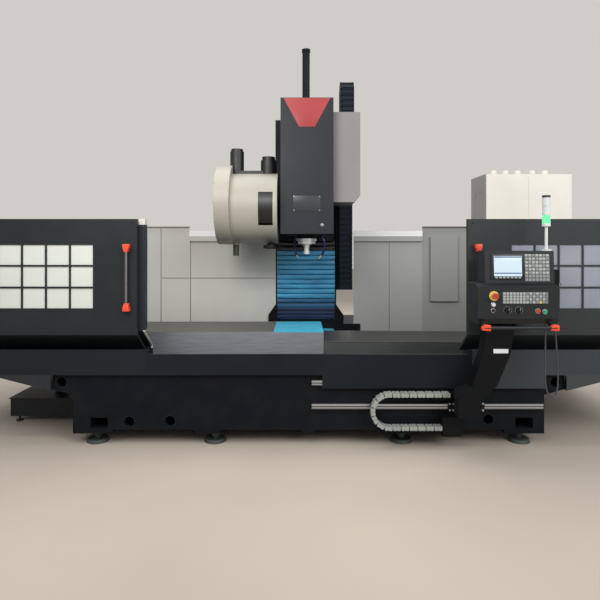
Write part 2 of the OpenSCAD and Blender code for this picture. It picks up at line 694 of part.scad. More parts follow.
// Adjustable coolant hose: ball segments that bend a little at each joint, then a nozzle
segment_h = 22;
module hose_segments(count, bend) {
    translate([0, 0, -segment_h]) cylinder(r1 = 9.5, r2 = 13, h = segment_h + 2);
    translate([0, 0, -segment_h]) rotate([0, bend, 0]) {
        if (count > 1) hose_segments(count - 1, bend);
        else translate([0, 0, -45]) cylinder(r1 = 4, r2 = 8, h = 47);
    }
}

nozzle_r = 165;
module coolant_nozzles() color([0.1, 0.15, 0.45]) for (a = [-20, 130])
    translate([0, spindle_y, head_low - seat_gap - 20]) rotate(a) translate([nozzle_r, 0, 0]) {
        cylinder(r = 15, h = 20);
        rotate([0, -30, 0]) hose_segments(9, 8);
    }

chuck_z = 1508;
tool_bore_r = 8;
tool_bore_l = 40;
module spindle() color([0.75, 0.75, 0.77]) translate([0, spindle_y, 0]) difference() {
    union() {
        translate([0, 0, 1602]) cylinder(r = 49.95, h = 190);
        translate([0, 0, 1580]) cylinder(r = 31.5, h = 23);
        translate([0, 0, 1540]) cylinder(r = 25, h = 41);
        translate([0, 0, chuck_z]) cylinder(r = 31, h = 33);
    }
    translate([0, 0, chuck_z - 1]) cylinder(r = tool_bore_r, h = tool_bore_l + 1);
}

module change_arm() color([0.3, 0.3, 0.31]) translate([arm_x, spindle_y, 0]) {
    translate([0, 0, arm_z - 6]) cylinder(r = 50, h = 50);
    translate([0, 0, arm_z + 43]) cylinder(r = arm_shaft_r, h = 52);
    difference() {
        union() {
            span([-32, arm_x, arm_z], [32, -arm_x, arm_z + arm_t]);
            for (s = [-1, 1]) translate([0, s * arm_x, arm_z]) cylinder(r = 58, h = arm_t);
        }
        for (s = [-1, 1]) {
            translate([0, s * arm_x, arm_z - 6]) cylinder(r = 40, h = 50);
            translate([s < 0 ? -70 : 0, s * arm_x - 40, arm_z - 6]) cube([70, 80, 50]);
        }
    }
}

// Door profile: upright panel and a skirt that slopes in over the gutter
door_section = [
    [door_front, guard_top], [door_front, door_skirt_top], [door_skirt_y, door_skirt_z],
    [door_skirt_y + 13, door_skirt_z + 18], [door_front + door_t, door_skirt_top - 5], [door_front + door_t, guard_top]
];

module door_panes(x0) for (c = [0:pane_columns - 1]) for (r = [0:pane_rows - 1])
    translate([x0 + c * pane_pitch_x + bar_w / 2, 0, window_top - window_h + r * pane_pitch_z + bar_w / 2])
        children();

module door(edge) {
    x0 = edge + window_margin;
    difference() {
        along_x(edge, edge + door_w) polygon(door_section);
        door_panes(x0) span([0, door_front - 1, 0],
            [pane_pitch_x - bar_w, door_front + door_t + 1, pane_pitch_z - bar_w]);
        span([x0 - 15, door_front + 8, window_top - window_h - 15],
             [x0 + window_w + 15, door_front + door_t + 1, window_top + 15]);
    }
    for (x = [edge + 120, edge + door_w - 180]) difference() {
        span([x, track_y - 14, track_top - 40], [x + 60, track_y + 14, door_skirt_z + 8]);
        span([x - 1, track_y - track_t / 2 - run_gap, track_top - 41], [x + 61, track_y + track_t / 2 + run_gap, track_top + run_gap]);
    }
}

module window_sheet(edge) span(
    [edge + window_margin - 14, door_front + 8, window_top - window_h - 14],
    [edge + window_margin + window_w + 14, door_front + 13, window_top + 14]);

handle_inset = 75;
handle_z = [1096, 1584];
module door_handle(edge) {
    x = edge + handle_inset;
    rod_z([x, door_front - 33, handle_z[0]], 11, handle_z[1] - handle_z[0]);
    for (z = [handle_z[0] - 20, handle_z[1] - 20])
        span([x - 22, door_front - 45, z], [x + 22, door_front, z + 40]);
}

module left_door() color([0.2, 0.22, 0.23]) mirror([1, 0, 0]) door(-left_door_edge);
module right_door() color([0.2, 0.22, 0.23]) door(right_door_edge);
module left_window() color([0.85, 0.87, 0.83]) mirror([1, 0, 0]) window_sheet(-left_door_edge);
module right_window() color([0.85, 0.87, 0.83]) window_sheet(right_door_edge);
module left_handle() color([0.4, 0.41, 0.43]) mirror([1, 0, 0]) door_handle(-left_door_edge);
module right_handle() color([0.4, 0.41, 0.43]) door_handle(right_door_edge);

module carriage() color([0.13, 0.13, 0.14]) difference() {
    union() {
        span([carriage_x0, rail_y0 - 9, 270], [carriage_x1, rail_y0 - 1, 540]);
        for (x = [carriage_x0, carriage_x1 - 90]) for (z = pendant_rail_z)
            span([x, rail_y0 - 1, z - 42], [x + 90, rail_y0 + 20, z + 42]);
        span([carriage_x0, chain_y0, 408], [carriage_x0 + 60, rail_y0 - 9, 442]);
    }
    for (z = pendant_rail_z)
        span([carriage_x0 - 1, rail_y0 - run_gap, z - 20 - run_gap], [carriage_x1 + 1, rail_y0 + 30, z + 20 + run_gap]);
}

arm_x0 = 1118;
arm_x1 = 1290;
arm_top = 1000;
arm_y0 = -1330;
arm_y1 = -1210;
module pendant_arm() color([0.12, 0.12, 0.13]) {
    along_y(arm_y0, arm_y1) polygon([
        [arm_x0, 300], [arm_x1, 300], [arm_x1, 430], [1408, 545], [1505, 775], [1538, arm_top - 20], [1560, arm_top - 20],
        [1560, arm_top], [1326, arm_top], [1312, 815], [1217, 532], [arm_x0, 500]
    ]);
    span([carriage_x0 + 61, arm_y1 - 1, 300], [arm_x1, rail_y0 - 9, 440]);
    rod_z([swivel_x, swivel_y, arm_top - 1], 55, box_low - seat_gap - arm_top + 1);
}

box_x1 = box_x0 + box_w;
step_z = 1304;
box_section = [
    [box_back, box_low], [box_front + 26, box_low], [box_front, box_low + 40], [box_front, step_z - 10],
    [box_front + 60, step_z + 12], [box_front + 74, box_top], [box_back - 20, box_top], [box_back, box_top - 60]
];
module pendant_box() color([0.09, 0.09, 0.1]) {
    difference() {
        along_x(box_x0, box_x1) polygon(box_section);
        span([box_x0 - 1, box_front - 1, step_z + 12], [box_x0 + 75, box_back + 1, box_top + 1]);
        for (p = [start_place, stop_place, power_place, reset_place, emergency_place]) button_bore(p);
        for (x = [feed_x, speed_x]) rod_y([x, panel_y - 1, knob_z], 6 + seat_gap, bore_d);
    }
    difference() {
        rod_y([emergency_place[0], panel_y - 6, emergency_place[1]], 34, 7);
        rod_y([emergency_place[0], panel_y - 7, emergency_place[1]], emergency_place[2] + seat_gap, 9);
    }
    rod_x([1262, box_front - 74, 1005], 12, 508);
    for (x = [1252, 1742]) hull() {
        rod_x([x, box_front - 72, 1005], 14, 30);
        span([x, box_front + 20, box_low + 6], [x + 30, box_front + 26, box_low + 30]);
    }
}

panel_y = box_front;
keys_x = box_x0 + 368;
module control_panel() color([0.55, 0.56, 0.55]) {
    tilt = -atan(14 / (box_top - step_z - 12));
    translate([0, box_front + 60, step_z + 12]) rotate([tilt, 0, 0]) {
        span([box_x0 + 126, -10, 34], [box_x0 + 358, 0, 216]);
        difference() {
            span([keys_x, -6, 14], [keys_x + 185, 0, 216]);
            for (i = [1:6]) span([keys_x + i * 26, -7, 10], [keys_x + 2 + i * 26, -3, 230]);
            for (i = [1:7]) span([keys_x - 5, -7, 14 + i * 26], [keys_x + 190, -3, 16 + i * 26]);
        }
    }
    difference() {
        span([box_x0 + 180, panel_y - 5, 1172], [box_x0 + 512, panel_y, 1256]);
        for (i = [1:13]) span([box_x0 + 180 + i * 24, panel_y - 6, 1170], [box_x0 + 182 + i * 24, panel_y - 2, 1258]);
        for (i = [1:3]) span([box_x0 + 179, panel_y - 6, 1172 + i * 21], [box_x0 + 513, panel_y - 2, 1174 + i * 21]);
    }
}

tower_x = 1793;
tower_y = -1290;
module signal_tower() color([0.85, 0.85, 0.84]) translate([tower_x, tower_y, 0]) {
    rod_z([0, 0, box_top], 36, 14);
    rod_z([0, 0, box_top + 13], 11, tower_top - 245 - box_top);
    rod_z([0, 0, tower_top - 234], 30, 22);
    for (i = [0:2]) rod_z([0, 0, tower_top - 213 + i * 66], 28, 63);
    rod_z([0, 0, tower_top - 214], 25, 205);
    rod_z([0, 0, tower_top - 15], 30, 15);
}

// Push button: its body slides in a bore of the console
bore_d = 20;
module push_button(p) rod_y([p[0], panel_y - p[3], p[1]], p[2], p[3] + bore_d - 8);
module button_bore(p) rod_y([p[0], panel_y - 1, p[1]], p[2] + seat_gap, bore_d + 1);

start_place = [1719, 1113, 14, 14];
stop_place = [1668, 1118, 14, 14];
power_place = [1343, 1165, 12, 12];
reset_place = [1341, 1122, 12, 12];
emergency_place = [1347, 1228, 13, 27];

module emergency_stop() color([0.75, 0.1, 0.08]) {
    push_button(emergency_place);
    rod_y([emergency_place[0], panel_y - 44, emergency_place[1]], 22, 18);
}
module start_button() color([0.1, 0.6, 0.4]) push_button(start_place);
module stop_button() color([0.75, 0.35, 0.3]) push_button(stop_place);
module power_button() color([0.85, 0.88, 0.82]) push_button(power_place);
module reset_button() color([0.3, 0.3, 0.3]) push_button(reset_place);

// Rotary selector with a pointer ridge
feed_x = 1449;
speed_x = 1530;
knob_z = 1122;
module selector(x) {
    rod_y([x, panel_y - 14, knob_z], 20, 14 - seat_gap);
    rod_y([x, panel_y - 1, knob_z], 6, bore_d - 4);
    span([x - 4, panel_y - 24, knob_z - 18], [x + 4, panel_y - 13, knob_z + 18]);
}
module feed_knob() color([0.05, 0.05, 0.05]) selector(feed_x);
module speed_knob() color([0.05, 0.05, 0.05]) selector(speed_x);

module handwheel_unit() color([0.08, 0.08, 0.09]) {
    span([box_x1, -1350, 1228], [box_x1 + 40, -1260, 1417]);
    rod_x([box_x1 + 39, -1305, 1375], 14, 12);
}
module handwheel_dial() color([0.5, 0.51, 0.5]) {
    rod_x([box_x1 + 40 + seat_gap, -1305, 1290], 36, 14);
    rod_x([box_x1 + 53, -1320, 1308], 7, 16);
}

// Route of the handwheel's lead: out of the unit, down, and back up to the control box
cord_r = 6;
cord_route = [
    [1840, -1305, 1227.7], [1841, -1305, 1150], [1846, -1307, 1050], [1852, -1310, 950], [1858, -1312, 850],
    [1864, -1314, 750], [1868, -1315, 650], [1868, -1316, 560], [1858, -1318, 500], [1832, -1320, 470],
    [1800, -1320, 478], [1780, -1318, 520], [1774, -1314, 600], [1776, -1308, 700], [1780, -1302, 800],
    [1784, -1296, 900], [1786, -1290, 970], [1786, -1288, 1021.7]
];
function spline(p, i, t) = let (
        a = p[max(i - 1, 0)], b = p[i], c = p[i + 1], d = p[min(i + 2, len(p) - 1)],
        t2 = t * t, t3 = t2 * t)
    0.5 * (2 * b + (c - a) * t + (2 * a - 5 * b + 4 * c - d) * t2 + (3 * b - a - 3 * c + d) * t3);
function unit(v) = v / norm(v);
cord_line = [for (i = [0:len(cord_route) - 2]) for (t = [0, 0.34, 0.67]) spline(cord_route, i, t), cord_route[len(cord_route) - 1]];
cord_sides = 8;

// Tube swept along a line by rings that stay square to it
module tube(line, r) {
    n = len(line);
    dirs = [for (i = [0:n - 1]) unit(line[min(i + 1, n - 1)] - line[max(i - 1, 0)])];
    rings = [for (i = [0:n - 1]) let (u = unit(cross(dirs[i], [0, 1, 0])), v = cross(u, dirs[i]))
        for (k = [0:cord_sides - 1]) let (a = 360 * k / cord_sides) line[i] + r * (cos(a) * u + sin(a) * v)];
    polyhedron(
        points = rings,
        faces = concat(
            [[for (k = [0:cord_sides - 1]) k]],
            [for (i = [0:n - 2]) for (k = [0:cord_sides - 1]) let (m = (k + 1) % cord_sides)
                [i * cord_sides + k, (i + 1) * cord_sides + k, (i + 1) * cord_sides + m, i * cord_sides + m]],
            [[for (k = [cord_sides - 1:-1:0]) (n - 1) * cord_sides + k]]
        )
    );
}
module handwheel_cord() color([0.2, 0.2, 0.21]) tube(cord_line, cord_r);

bed();
levelling_feet();
column();
guide_rails();
axis_motors();
left_guard();
right_guard();
back_guard();
front_apron();
pendant_rails();
chain_tray();
electrical_cabinet();
coolant_tank();
balance_cylinder();
magazine_bracket();
magazine_cover();
magazine_motors();
cover_foot();
pendant_chain();
z_cover();
z_chain();
y_cover();
y_screw();
z_screw();
x_screw();
saddle();
x_motor();
x_cover_left();
x_cover_right();
table();
head();
head_cover();
side_box();
spindle_motor();
coolant_nozzles();
balance_rod();
spindle();
carousel();
change_arm();
left_door();
left_window();
left_handle();
right_door();
right_window();
right_handle();
carriage();
pendant_arm();
pendant_box();
control_panel();
signal_tower();
emergency_stop();
feed_knob();
speed_knob();
start_button();
stop_button();
power_button();
reset_button();
handwheel_unit();
handwheel_dial();
handwheel_cord();
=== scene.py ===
import math

import bmesh
import bpy
from mathutils import Matrix, Vector


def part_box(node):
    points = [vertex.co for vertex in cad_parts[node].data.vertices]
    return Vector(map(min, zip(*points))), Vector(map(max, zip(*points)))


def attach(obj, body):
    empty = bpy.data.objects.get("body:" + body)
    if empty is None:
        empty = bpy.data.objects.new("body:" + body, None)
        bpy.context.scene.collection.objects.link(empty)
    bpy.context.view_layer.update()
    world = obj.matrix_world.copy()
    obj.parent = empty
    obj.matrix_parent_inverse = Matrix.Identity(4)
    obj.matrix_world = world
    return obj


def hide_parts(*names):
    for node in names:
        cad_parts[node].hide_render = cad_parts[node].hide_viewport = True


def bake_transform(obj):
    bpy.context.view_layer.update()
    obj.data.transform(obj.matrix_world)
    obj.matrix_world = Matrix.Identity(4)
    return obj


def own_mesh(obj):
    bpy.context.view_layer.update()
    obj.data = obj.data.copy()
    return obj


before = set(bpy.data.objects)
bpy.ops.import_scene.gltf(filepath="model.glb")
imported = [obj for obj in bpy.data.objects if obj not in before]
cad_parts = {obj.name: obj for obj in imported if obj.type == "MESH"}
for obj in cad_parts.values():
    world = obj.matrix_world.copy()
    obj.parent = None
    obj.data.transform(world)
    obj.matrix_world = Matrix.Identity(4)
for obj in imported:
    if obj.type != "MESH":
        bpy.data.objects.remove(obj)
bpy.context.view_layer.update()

# Places, travels and directions, in metres; the knobs are given by their x
SPINDLE_Y = 0.088
RAIL_LEVELS = (0.311, 0.499)
KNOBS = {"feed_knob": 1.449, "speed_knob": 1.53}
KNOB_Z = 1.122
(_, z_cover_front, Z_COVER_LOW), (z_cover_half, z_cover_back, Z_COVER_HIGH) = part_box("z_cover")
Z_COVER_FOLDS = 13
FOLD = (Z_COVER_HIGH - Z_COVER_LOW) / Z_COVER_FOLDS
FRONT, BACK, UP, DOWN, LEFT = (0, -1, 0), (0, 1, 0), (0, 0, 1), (0, 0, -1), (-1, 0, 0)

# Camera: level, in front of the machine, with the horizon above the picture's middle
CAMERA_AT = (-0.068, -5.22, 1.6)
SENSOR_MM = 36
FOCAL_SHARE = 520 / 600
HORIZON_SHIFT = -55 / 600

camera_data = bpy.data.cameras.new("camera")
camera_data.sensor_width = SENSOR_MM
camera_data.lens = SENSOR_MM * FOCAL_SHARE
camera_data.shift_y = HORIZON_SHIFT
camera_data.clip_end = 200
camera = bpy.data.objects.new("camera", camera_data)
camera.location = CAMERA_AT
camera.rotation_euler = (math.pi / 2, 0, 0)
bpy.context.collection.objects.link(camera)
bpy.context.scene.camera = camera
bpy.context.scene.view_settings.view_transform = "Standard"


def linear(colour):
    """A colour given as 0 to 255 screen values, in the linear values that shaders use."""
    return tuple((c / 255 / 12.92) if c <= 10 else ((c / 255 + 0.055) / 1.055) ** 2.4 for c in colour)


def shade(colour, factor):
    """A linear colour made lighter or darker, with its alpha."""
    return tuple(min(1.0, c * factor) for c in colour) + (1.0,)


class Surface:
    """A procedural material: colour that varies softly, roughness that varies, and a fine bump."""

    def __init__(self, name, colour, rough=0.5, metal=0.0, vary=0.1, patch=1.5, grain=0.0, grain_size=400,
                 stretch=(1, 1, 1), coat=0.0, dust=0.0, dust_colour=(150, 146, 138), alpha=1.0, glow=0.0, lit=None,
                 shine=0.5):
        self.material = bpy.data.materials.new(name)
        self.material.use_nodes = True
        self.nodes = self.material.node_tree.nodes
        self.links = self.material.node_tree.links
        self.shader = self.nodes["Principled BSDF"]
        self.colour = linear(colour)
        place = self.nodes.new("ShaderNodeTexCoord")
        self.place = place.outputs["Object"]
        mapping = self.nodes.new("ShaderNodeMapping")
        mapping.inputs["Scale"].default_value = stretch
        self.links.new(self.place, mapping.inputs["Vector"])
        self.mapped = mapping.outputs["Vector"]
        soft = self.noise(patch, 4)
        self.base = self.ramp(soft, shade(self.colour, 1 - vary), shade(self.colour, 1 + vary), 0.35, 0.65)
        if dust:
            settled = self.ramp(self.noise(patch * 2.3, 8), (0, 0, 0, 1), (dust, dust, dust, 1), 0.45, 0.8)
            self.base = self.mix(settled, self.base, linear(dust_colour) + (1.0,))
        self.links.new(self.base, self.shader.inputs["Base Color"])
        spread = self.nodes.new("ShaderNodeMapRange")
        spread.inputs["To Min"].default_value = max(0.04, rough - 0.08)
        spread.inputs["To Max"].default_value = min(1.0, rough + 0.1)
        self.links.new(self.noise(patch * 5, 3), spread.inputs["Value"])
        self.links.new(spread.outputs["Result"], self.shader.inputs["Roughness"])
        self.shader.inputs["Metallic"].default_value = metal
        self.shader.inputs["Coat Weight"].default_value = coat
        self.shader.inputs["Specular IOR Level"].default_value = shine
        self.shader.inputs["Alpha"].default_value = alpha
        if glow:
            self.shader.inputs["Emission Color"].default_value = linear(lit or colour) + (1.0,)
            self.shader.inputs["Emission Strength"].default_value = glow
        if grain:
            bump = self.nodes.new("ShaderNodeBump")
            bump.inputs["Strength"].default_value = grain
            bump.inputs["Distance"].default_value = 0.002
            self.links.new(self.noise(grain_size, 2), bump.inputs["Height"])
            self.links.new(bump.outputs["Normal"], self.shader.inputs["Normal"])

    def noise(self, scale, detail):
        node = self.nodes.new("ShaderNodeTexNoise")
        node.inputs["Scale"].default_value = scale
        node.inputs["Detail"].default_value = detail
        self.links.new(self.mapped, node.inputs["Vector"])
        return node.outputs["Fac"]

    def ramp(self, value, low, high, start, stop):
        node = self.nodes.new("ShaderNodeValToRGB")
        node.color_ramp.elements[0].position = start
        node.color_ramp.elements[0].color = low
        node.color_ramp.elements[1].position = stop
        node.color_ramp.elements[1].color = high
        self.links.new(value, node.inputs["Fac"])
        return node.outputs["Color"]

    def mix(self, factor, first, second):
        node = self.nodes.new("ShaderNodeMix")
        node.data_type = "RGBA"
        self.links.new(factor, node.inputs["Factor"])
        self.links.new(first, node.inputs["A"])
        node.inputs["B"].default_value = second
        return node.outputs["Result"]

    def paint_where(self, colour, **spans):
        """Another colour inside a span of each named axis, such as a patch on a table's top. None leaves an end
        open.
        """
        split = self.nodes.new("ShaderNodeSeparateXYZ")
        self.links.new(self.place, split.inputs["Vector"])
        inside = None
        for axis, (low, high) in spans.items():
            for limit, test in ((low, "GREATER_THAN"), (high, "LESS_THAN")):
                if limit is None:
                    continue
                step = self.nodes.new("ShaderNodeMath")
                step.operation = test
                step.inputs[1].default_value = limit
                self.links.new(split.outputs[axis], step.inputs[0])
                if inside is None:
                    inside = step.outputs["Value"]
                    continue
                both = self.nodes.new("ShaderNodeMath")
                both.operation = "MULTIPLY"
                self.links.new(inside, both.inputs[0])
                self.links.new(step.outputs["Value"], both.inputs[1])
                inside = both.outputs["Value"]
        self.base = self.mix(inside, self.base, linear(colour) + (1.0,))
        self.links.new(self.base, self.shader.inputs["Base Color"])
        return self


def powder(name, colour, rough=0.5, dust=0.04, shine=0.35):
    """Powder coat, which still needs its .material."""
    return Surface(name, colour, rough=rough, vary=0.07, patch=1.2, grain=0.12, grain_size=700, dust=dust,
                   shine=shine)


def brushed(name, colour, rough=0.35, along=(2, 60, 60)):
    return Surface(name, colour, rough=rough, metal=0.9, vary=0.14, patch=3, grain=0.12, grain_size=40,
                   stretch=along).material


def plastic(name, colour, rough=0.4, **more):
    return Surface(name, colour, rough=rough, vary=0.06, patch=6, grain=0.05, grain_size=900, **more).material


WALL_CREAM = (196, 193, 184)
# Painted shade: a darker copy of the wall cream, for the right guard's wall box lying in shade.
WALL_PAINTED_SHADE = (148, 147, 142)
# Painted light: the left pan's cream edge flange is painted lighter than the other cream, to make up for the
# shadow it lies in.
EDGE_CREAM_PAINTED_LIGHT = (236, 234, 226)
# Painted light: a brighter cyan than the blue cover's, standing for blue film lit from above; used on the Y cover
# and on a patch of the table's top.
CYAN_PAINTED_LIGHT = (83, 190, 218)
# Painted shade: a dark line for the shade in each rail's grooves.
GROOVE_PAINTED_SHADE = (62, 63, 66)
CASTING = Surface("textured casting paint", (14, 17, 22), rough=0.66, vary=0.1, patch=2.5, grain=0.4,
                  grain_size=220, dust=0.015, shine=0.12).material
# Painted light: right of x 0, on the right door and its screws, the charcoal is painted lighter than on the left.
CHARCOAL = powder("charcoal powder coat", (31, 35, 38), dust=0.02, shine=0.25).paint_where(
    (47, 51, 52), X=(0, None)).material
# Painted light: right of x 1.3 the guard is painted lighter. The walls inside are cream; right of x 1.0 they take
# the wall's painted shade, and the left pan's edge strip the cream's painted light.
GUARD_PAINT = powder("guard powder coat, cream inside", (37, 41, 45), dust=0.02, shine=0.25).paint_where(
    (61, 65, 66), X=(1.3, None)).paint_where(WALL_CREAM, Y=(0.7, None)).paint_where(
    WALL_PAINTED_SHADE, X=(1.0, None), Y=(0.7, None)).paint_where(
    EDGE_CREAM_PAINTED_LIGHT, X=(-1.345, -1.32), Y=(None, -0.75), Z=(0.72, 0.905)).paint_where(
    WALL_CREAM, X=(-1.383, -1.32), Y=(None, -0.9), Z=(1.765, None)).material
HEAD_PAINT = powder("head cover powder coat", (35, 38, 43), rough=0.45, dust=0.02, shine=0.3).material
CHARCOAL_DARK = powder("dark charcoal powder coat", (23, 28, 32), dust=0.015, shine=0.12).material
# Painted light: the apron's ends beyond x 1.3 are painted lighter than its middle, the right end the most.
APRON_PAINT = powder("apron powder coat", (23, 28, 32), dust=0.015, shine=0.12).paint_where(
    (30, 34, 37), X=(None, -1.3)).paint_where((60, 64, 67), X=(1.3, None)).material
BLACK_PAINT = powder("satin black paint", (11, 13, 15), rough=0.5, dust=0.01, shine=0.12).material
CONSOLE_BLACK = powder("console black paint", (23, 27, 29), rough=0.42, dust=0.02).material
# Painted shade: left of x 2.07 the cabinet's side is painted grey, for the shade on that side.
CREAM = powder("cream cabinet paint", (232, 225, 213), rough=0.42, dust=0.04).paint_where(
    (138, 135, 133), X=(None, 2.07)).paint_where((176, 170, 160), Z=(2.414, 2.418)).material
# Painted shade: below z 1.603 the magazine's cover is painted dark, for the shade on its underside.
MAGAZINE_CREAM = powder("cream magazine paint", (164, 159, 146), rough=0.42, dust=0.05).paint_where(
    (60, 60, 53), Z=(None, 1.603)).material
# Painted light and shade: right of x 0.4 the back wall is painted darker, for the column's shadow on it, and the
# header above z 1.7 lighter, as lit.
PANEL_GREY = powder("warm grey panel paint", WALL_CREAM, rough=0.5, dust=0.06).paint_where(
    (163, 161, 157), X=(0.4, None)).paint_where((240, 237, 233), Z=(1.7, None)).material
SEAM_GREY = powder("panel joint strip", (132, 129, 121), rough=0.5).material
BOX_GREY = powder("light grey paint", (137, 132, 132), rough=0.45).material
PLATE_GREY = powder("blank plate", (50, 55, 56), rough=0.3, dust=0.02).material
GROUND_STEEL = brushed("ground steel", (174, 178, 184), 0.28)
profile_rail = Surface("profile rail steel", (182, 185, 190), rough=0.3, metal=0.9, vary=0.1, patch=3, grain=0.1,
                       grain_size=40, stretch=(2, 60, 60))
# Painted shade along the grooves of the pendant's rails.
for rail_z in RAIL_LEVELS:
    for groove_low, groove_high in ((-0.004, 0.003), (-0.019, -0.014)):
        profile_rail.paint_where(GROOVE_PAINTED_SHADE, Z=(rail_z + groove_low, rail_z + groove_high))
RAIL_STEEL = profile_rail.material
TURNED_STEEL = brushed("turned steel", (200, 200, 204), 0.22, (40, 40, 4))
NOSE_STEEL = Surface("polished spindle steel", (226, 227, 230), rough=0.3, metal=0.5, vary=0.08, patch=6,
                     grain=0.05, grain_size=40, stretch=(40, 40, 4)).material
COVER_STEEL = brushed("brushed cover steel", (128, 129, 126), 0.4)
WAY_COVER_STEEL = Surface("way cover steel", (96, 98, 96), rough=0.45, metal=0.5, vary=0.12, patch=3, grain=0.12,
                          grain_size=40, stretch=(2, 60, 60)).paint_where((62, 64, 61), Z=(0.717, None)).material
MOTOR_BLACK = plastic("motor black", (20, 20, 22), 0.45)
KNOB_BLACK = plastic("moulded black", (16, 16, 17), 0.38)
CHAIN_BLACK = plastic("chain polyamide, black", (16, 26, 36), 0.5, shine=0.2)
CHAIN_GREY = plastic("chain polyamide, light grey", (148, 151, 146), 0.45)
# Painted shade: the top two folds are near black, a painted shadow under the head that also stands for the cover's
# dark top band; the lowest fold is painted a darker blue, painted shade at the cover's foot.
COVER_BLUE = Surface("blue filmed cover", (64, 142, 181), rough=0.34, vary=0.22, patch=7, grain=0.25,
                     grain_size=60, stretch=(0.4, 1, 2), coat=0.3).paint_where(
    (3, 5, 8), Z=(Z_COVER_HIGH - 2 * FOLD + 0.004, None)).paint_where(
    (34, 84, 118), Z=(None, Z_COVER_LOW + FOLD)).material
NAVY_FILM = Surface("navy film", (10, 32, 66), rough=0.34, vary=0.2, patch=7, grain=0.2, grain_size=60,
                    coat=0.3).material
# The Y cover's blue film, in the brighter cyan of painted light.
FILM_BLUE_PAINTED_LIGHT = Surface("blue film, painted light", CYAN_PAINTED_LIGHT, rough=0.3, vary=0.15, patch=5, grain=0.3,
                    grain_size=35, coat=0.3).material
# Painted light: the table's front is painted lighter than its top (above z 0.8165), to make up for the front being
# lit less; right of x -0.306 the top carries the cyan painted light, a patch lined up with the blue cover behind
# it.
TABLE_STEEL = Surface("ground table face", (146, 146, 149), rough=0.42, metal=0.35, vary=0.1, patch=3, grain=0.1,
                      grain_size=60, stretch=(2, 30, 30), dust=0.1).paint_where(
    (87, 85, 77), Z=(0.8165, None)).paint_where(
    CYAN_PAINTED_LIGHT, X=(-0.306, None), Z=(0.81, None)).material
# Painted light and shade: the two windows are one kind of clear sheet; the left is painted pale and less clear,
# the right darker grey-blue and clearer, for the different light behind them.
GLASS_LEFT_PAINTED_LIGHT = Surface("clear window sheet, left, painted light", (220, 223, 215), rough=0.12, vary=0.02, coat=0.3,
                     alpha=0.86).material
GLASS_RIGHT_PAINTED_SHADE = Surface("clear window sheet, right, painted shade", (162, 167, 178), rough=0.12, vary=0.06, patch=3, coat=0.3,
                      alpha=0.7).material
RED = plastic("red plastic", (176, 60, 38), 0.3)
RED_TRIM = powder("red painted trim", (160, 60, 62), rough=0.4, dust=0.01).material
ORANGE_RED = plastic("orange red plastic", (226, 74, 40), 0.35)
YELLOW = plastic("yellow plastic", (226, 190, 96), 0.35)
GREEN = plastic("green plastic", (30, 150, 100), 0.3)
GREEN_LIT = plastic("lit green lens", (60, 150, 100), 0.25, glow=0.9, lit=(120, 235, 170))
LENS_CLEAR = plastic("pale lens", (216, 220, 218), 0.2)
WHITE = plastic("white plastic", (216, 218, 214), 0.35)
TOWER_WHITE = Surface("lamp body white", (214, 216, 213), rough=0.35, vary=0.04, patch=6, grain=0.05,
                      grain_size=900).paint_where((44, 46, 48), Z=(1.9595, None)).material
CAP_WHITE = plastic("key white", (166, 169, 167), 0.45)
KEY_GREY = plastic("key grey", (136, 140, 138), 0.45)
KEY_BODY = plastic("panel foil grey", (112, 114, 112), 0.5)
DIAL_GREY = plastic("dial grey", (70, 71, 72), 0.35)
SCREEN = plastic("lit screen", (20, 24, 28), 0.15, glow=0.97, lit=(219, 240, 250))
SCREEN_BAND = plastic("lit screen band", (14, 20, 30), 0.15, glow=0.6, lit=(70, 110, 176))
BRASS_TIP_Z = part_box("coolant_nozzles")[0][2] + 0.034
BLUE_HOSE = Surface("blue hose segments, brass tip", (20, 24, 84), rough=0.35, vary=0.06, patch=6, grain=0.05,
                    grain_size=900).paint_where((196, 172, 120), Z=(None, BRASS_TIP_Z)).material
CORD_SHEATH = plastic("cord sheath", (60, 61, 64), 0.5)
BOLT_BLACK = plastic("blackened screw", (30, 30, 32), 0.35, metal=0.6)
FOOT_PAINT = powder("green grey paint", (52, 60, 54), rough=0.55).material

NODE_LOOKS = {
    CASTING: "bed saddle",
    CHARCOAL: "left_door right_door coolant_tank",
    GUARD_PAINT: "left_guard right_guard",
    HEAD_PAINT: "head_cover",
    CHARCOAL_DARK: "column magazine_bracket head balance_cylinder",
    APRON_PAINT: "front_apron",
    BLACK_PAINT: "pendant_arm carriage chain_tray cover_foot handwheel_unit",
    CONSOLE_BLACK: "pendant_box",
    CREAM: "electrical_cabinet",
    MAGAZINE_CREAM: "magazine_cover",
    PANEL_GREY: "back_guard",
    BOX_GREY: "side_box",
    TOWER_WHITE: "signal_tower",
    WHITE: "power_button",
    DIAL_GREY: "handwheel_dial",
    GROUND_STEEL: "guide_rails",
    RAIL_STEEL: "pendant_rails",
    TURNED_STEEL: "y_screw z_screw x_screw balance_rod",
    NOSE_STEEL: "spindle",
    COVER_STEEL: "carousel left_handle right_handle",
    BOLT_BLACK: "change_arm",
    TABLE_STEEL: "table",
    MOTOR_BLACK: "axis_motors x_motor magazine_motors spindle_motor",
    KNOB_BLACK: "feed_knob speed_knob reset_button",
    KEY_BODY: "control_panel",
    GLASS_LEFT_PAINTED_LIGHT: "left_window",
    GLASS_RIGHT_PAINTED_SHADE: "right_window",
    RED: "emergency_stop stop_button",
    GREEN: "start_button",
    BLUE_HOSE: "coolant_nozzles",
    FOOT_PAINT: "levelling_feet",
}


def dress(node, material):
    """Puts a material into every slot of a CAD node."""
    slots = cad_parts[node].material_slots
    for slot in slots:
        slot.material = material
    if not slots:
        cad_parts[node].data.materials.append(material)


for look, names in NODE_LOOKS.items():
    for node_name in names.split():
        dress(node_name, look)


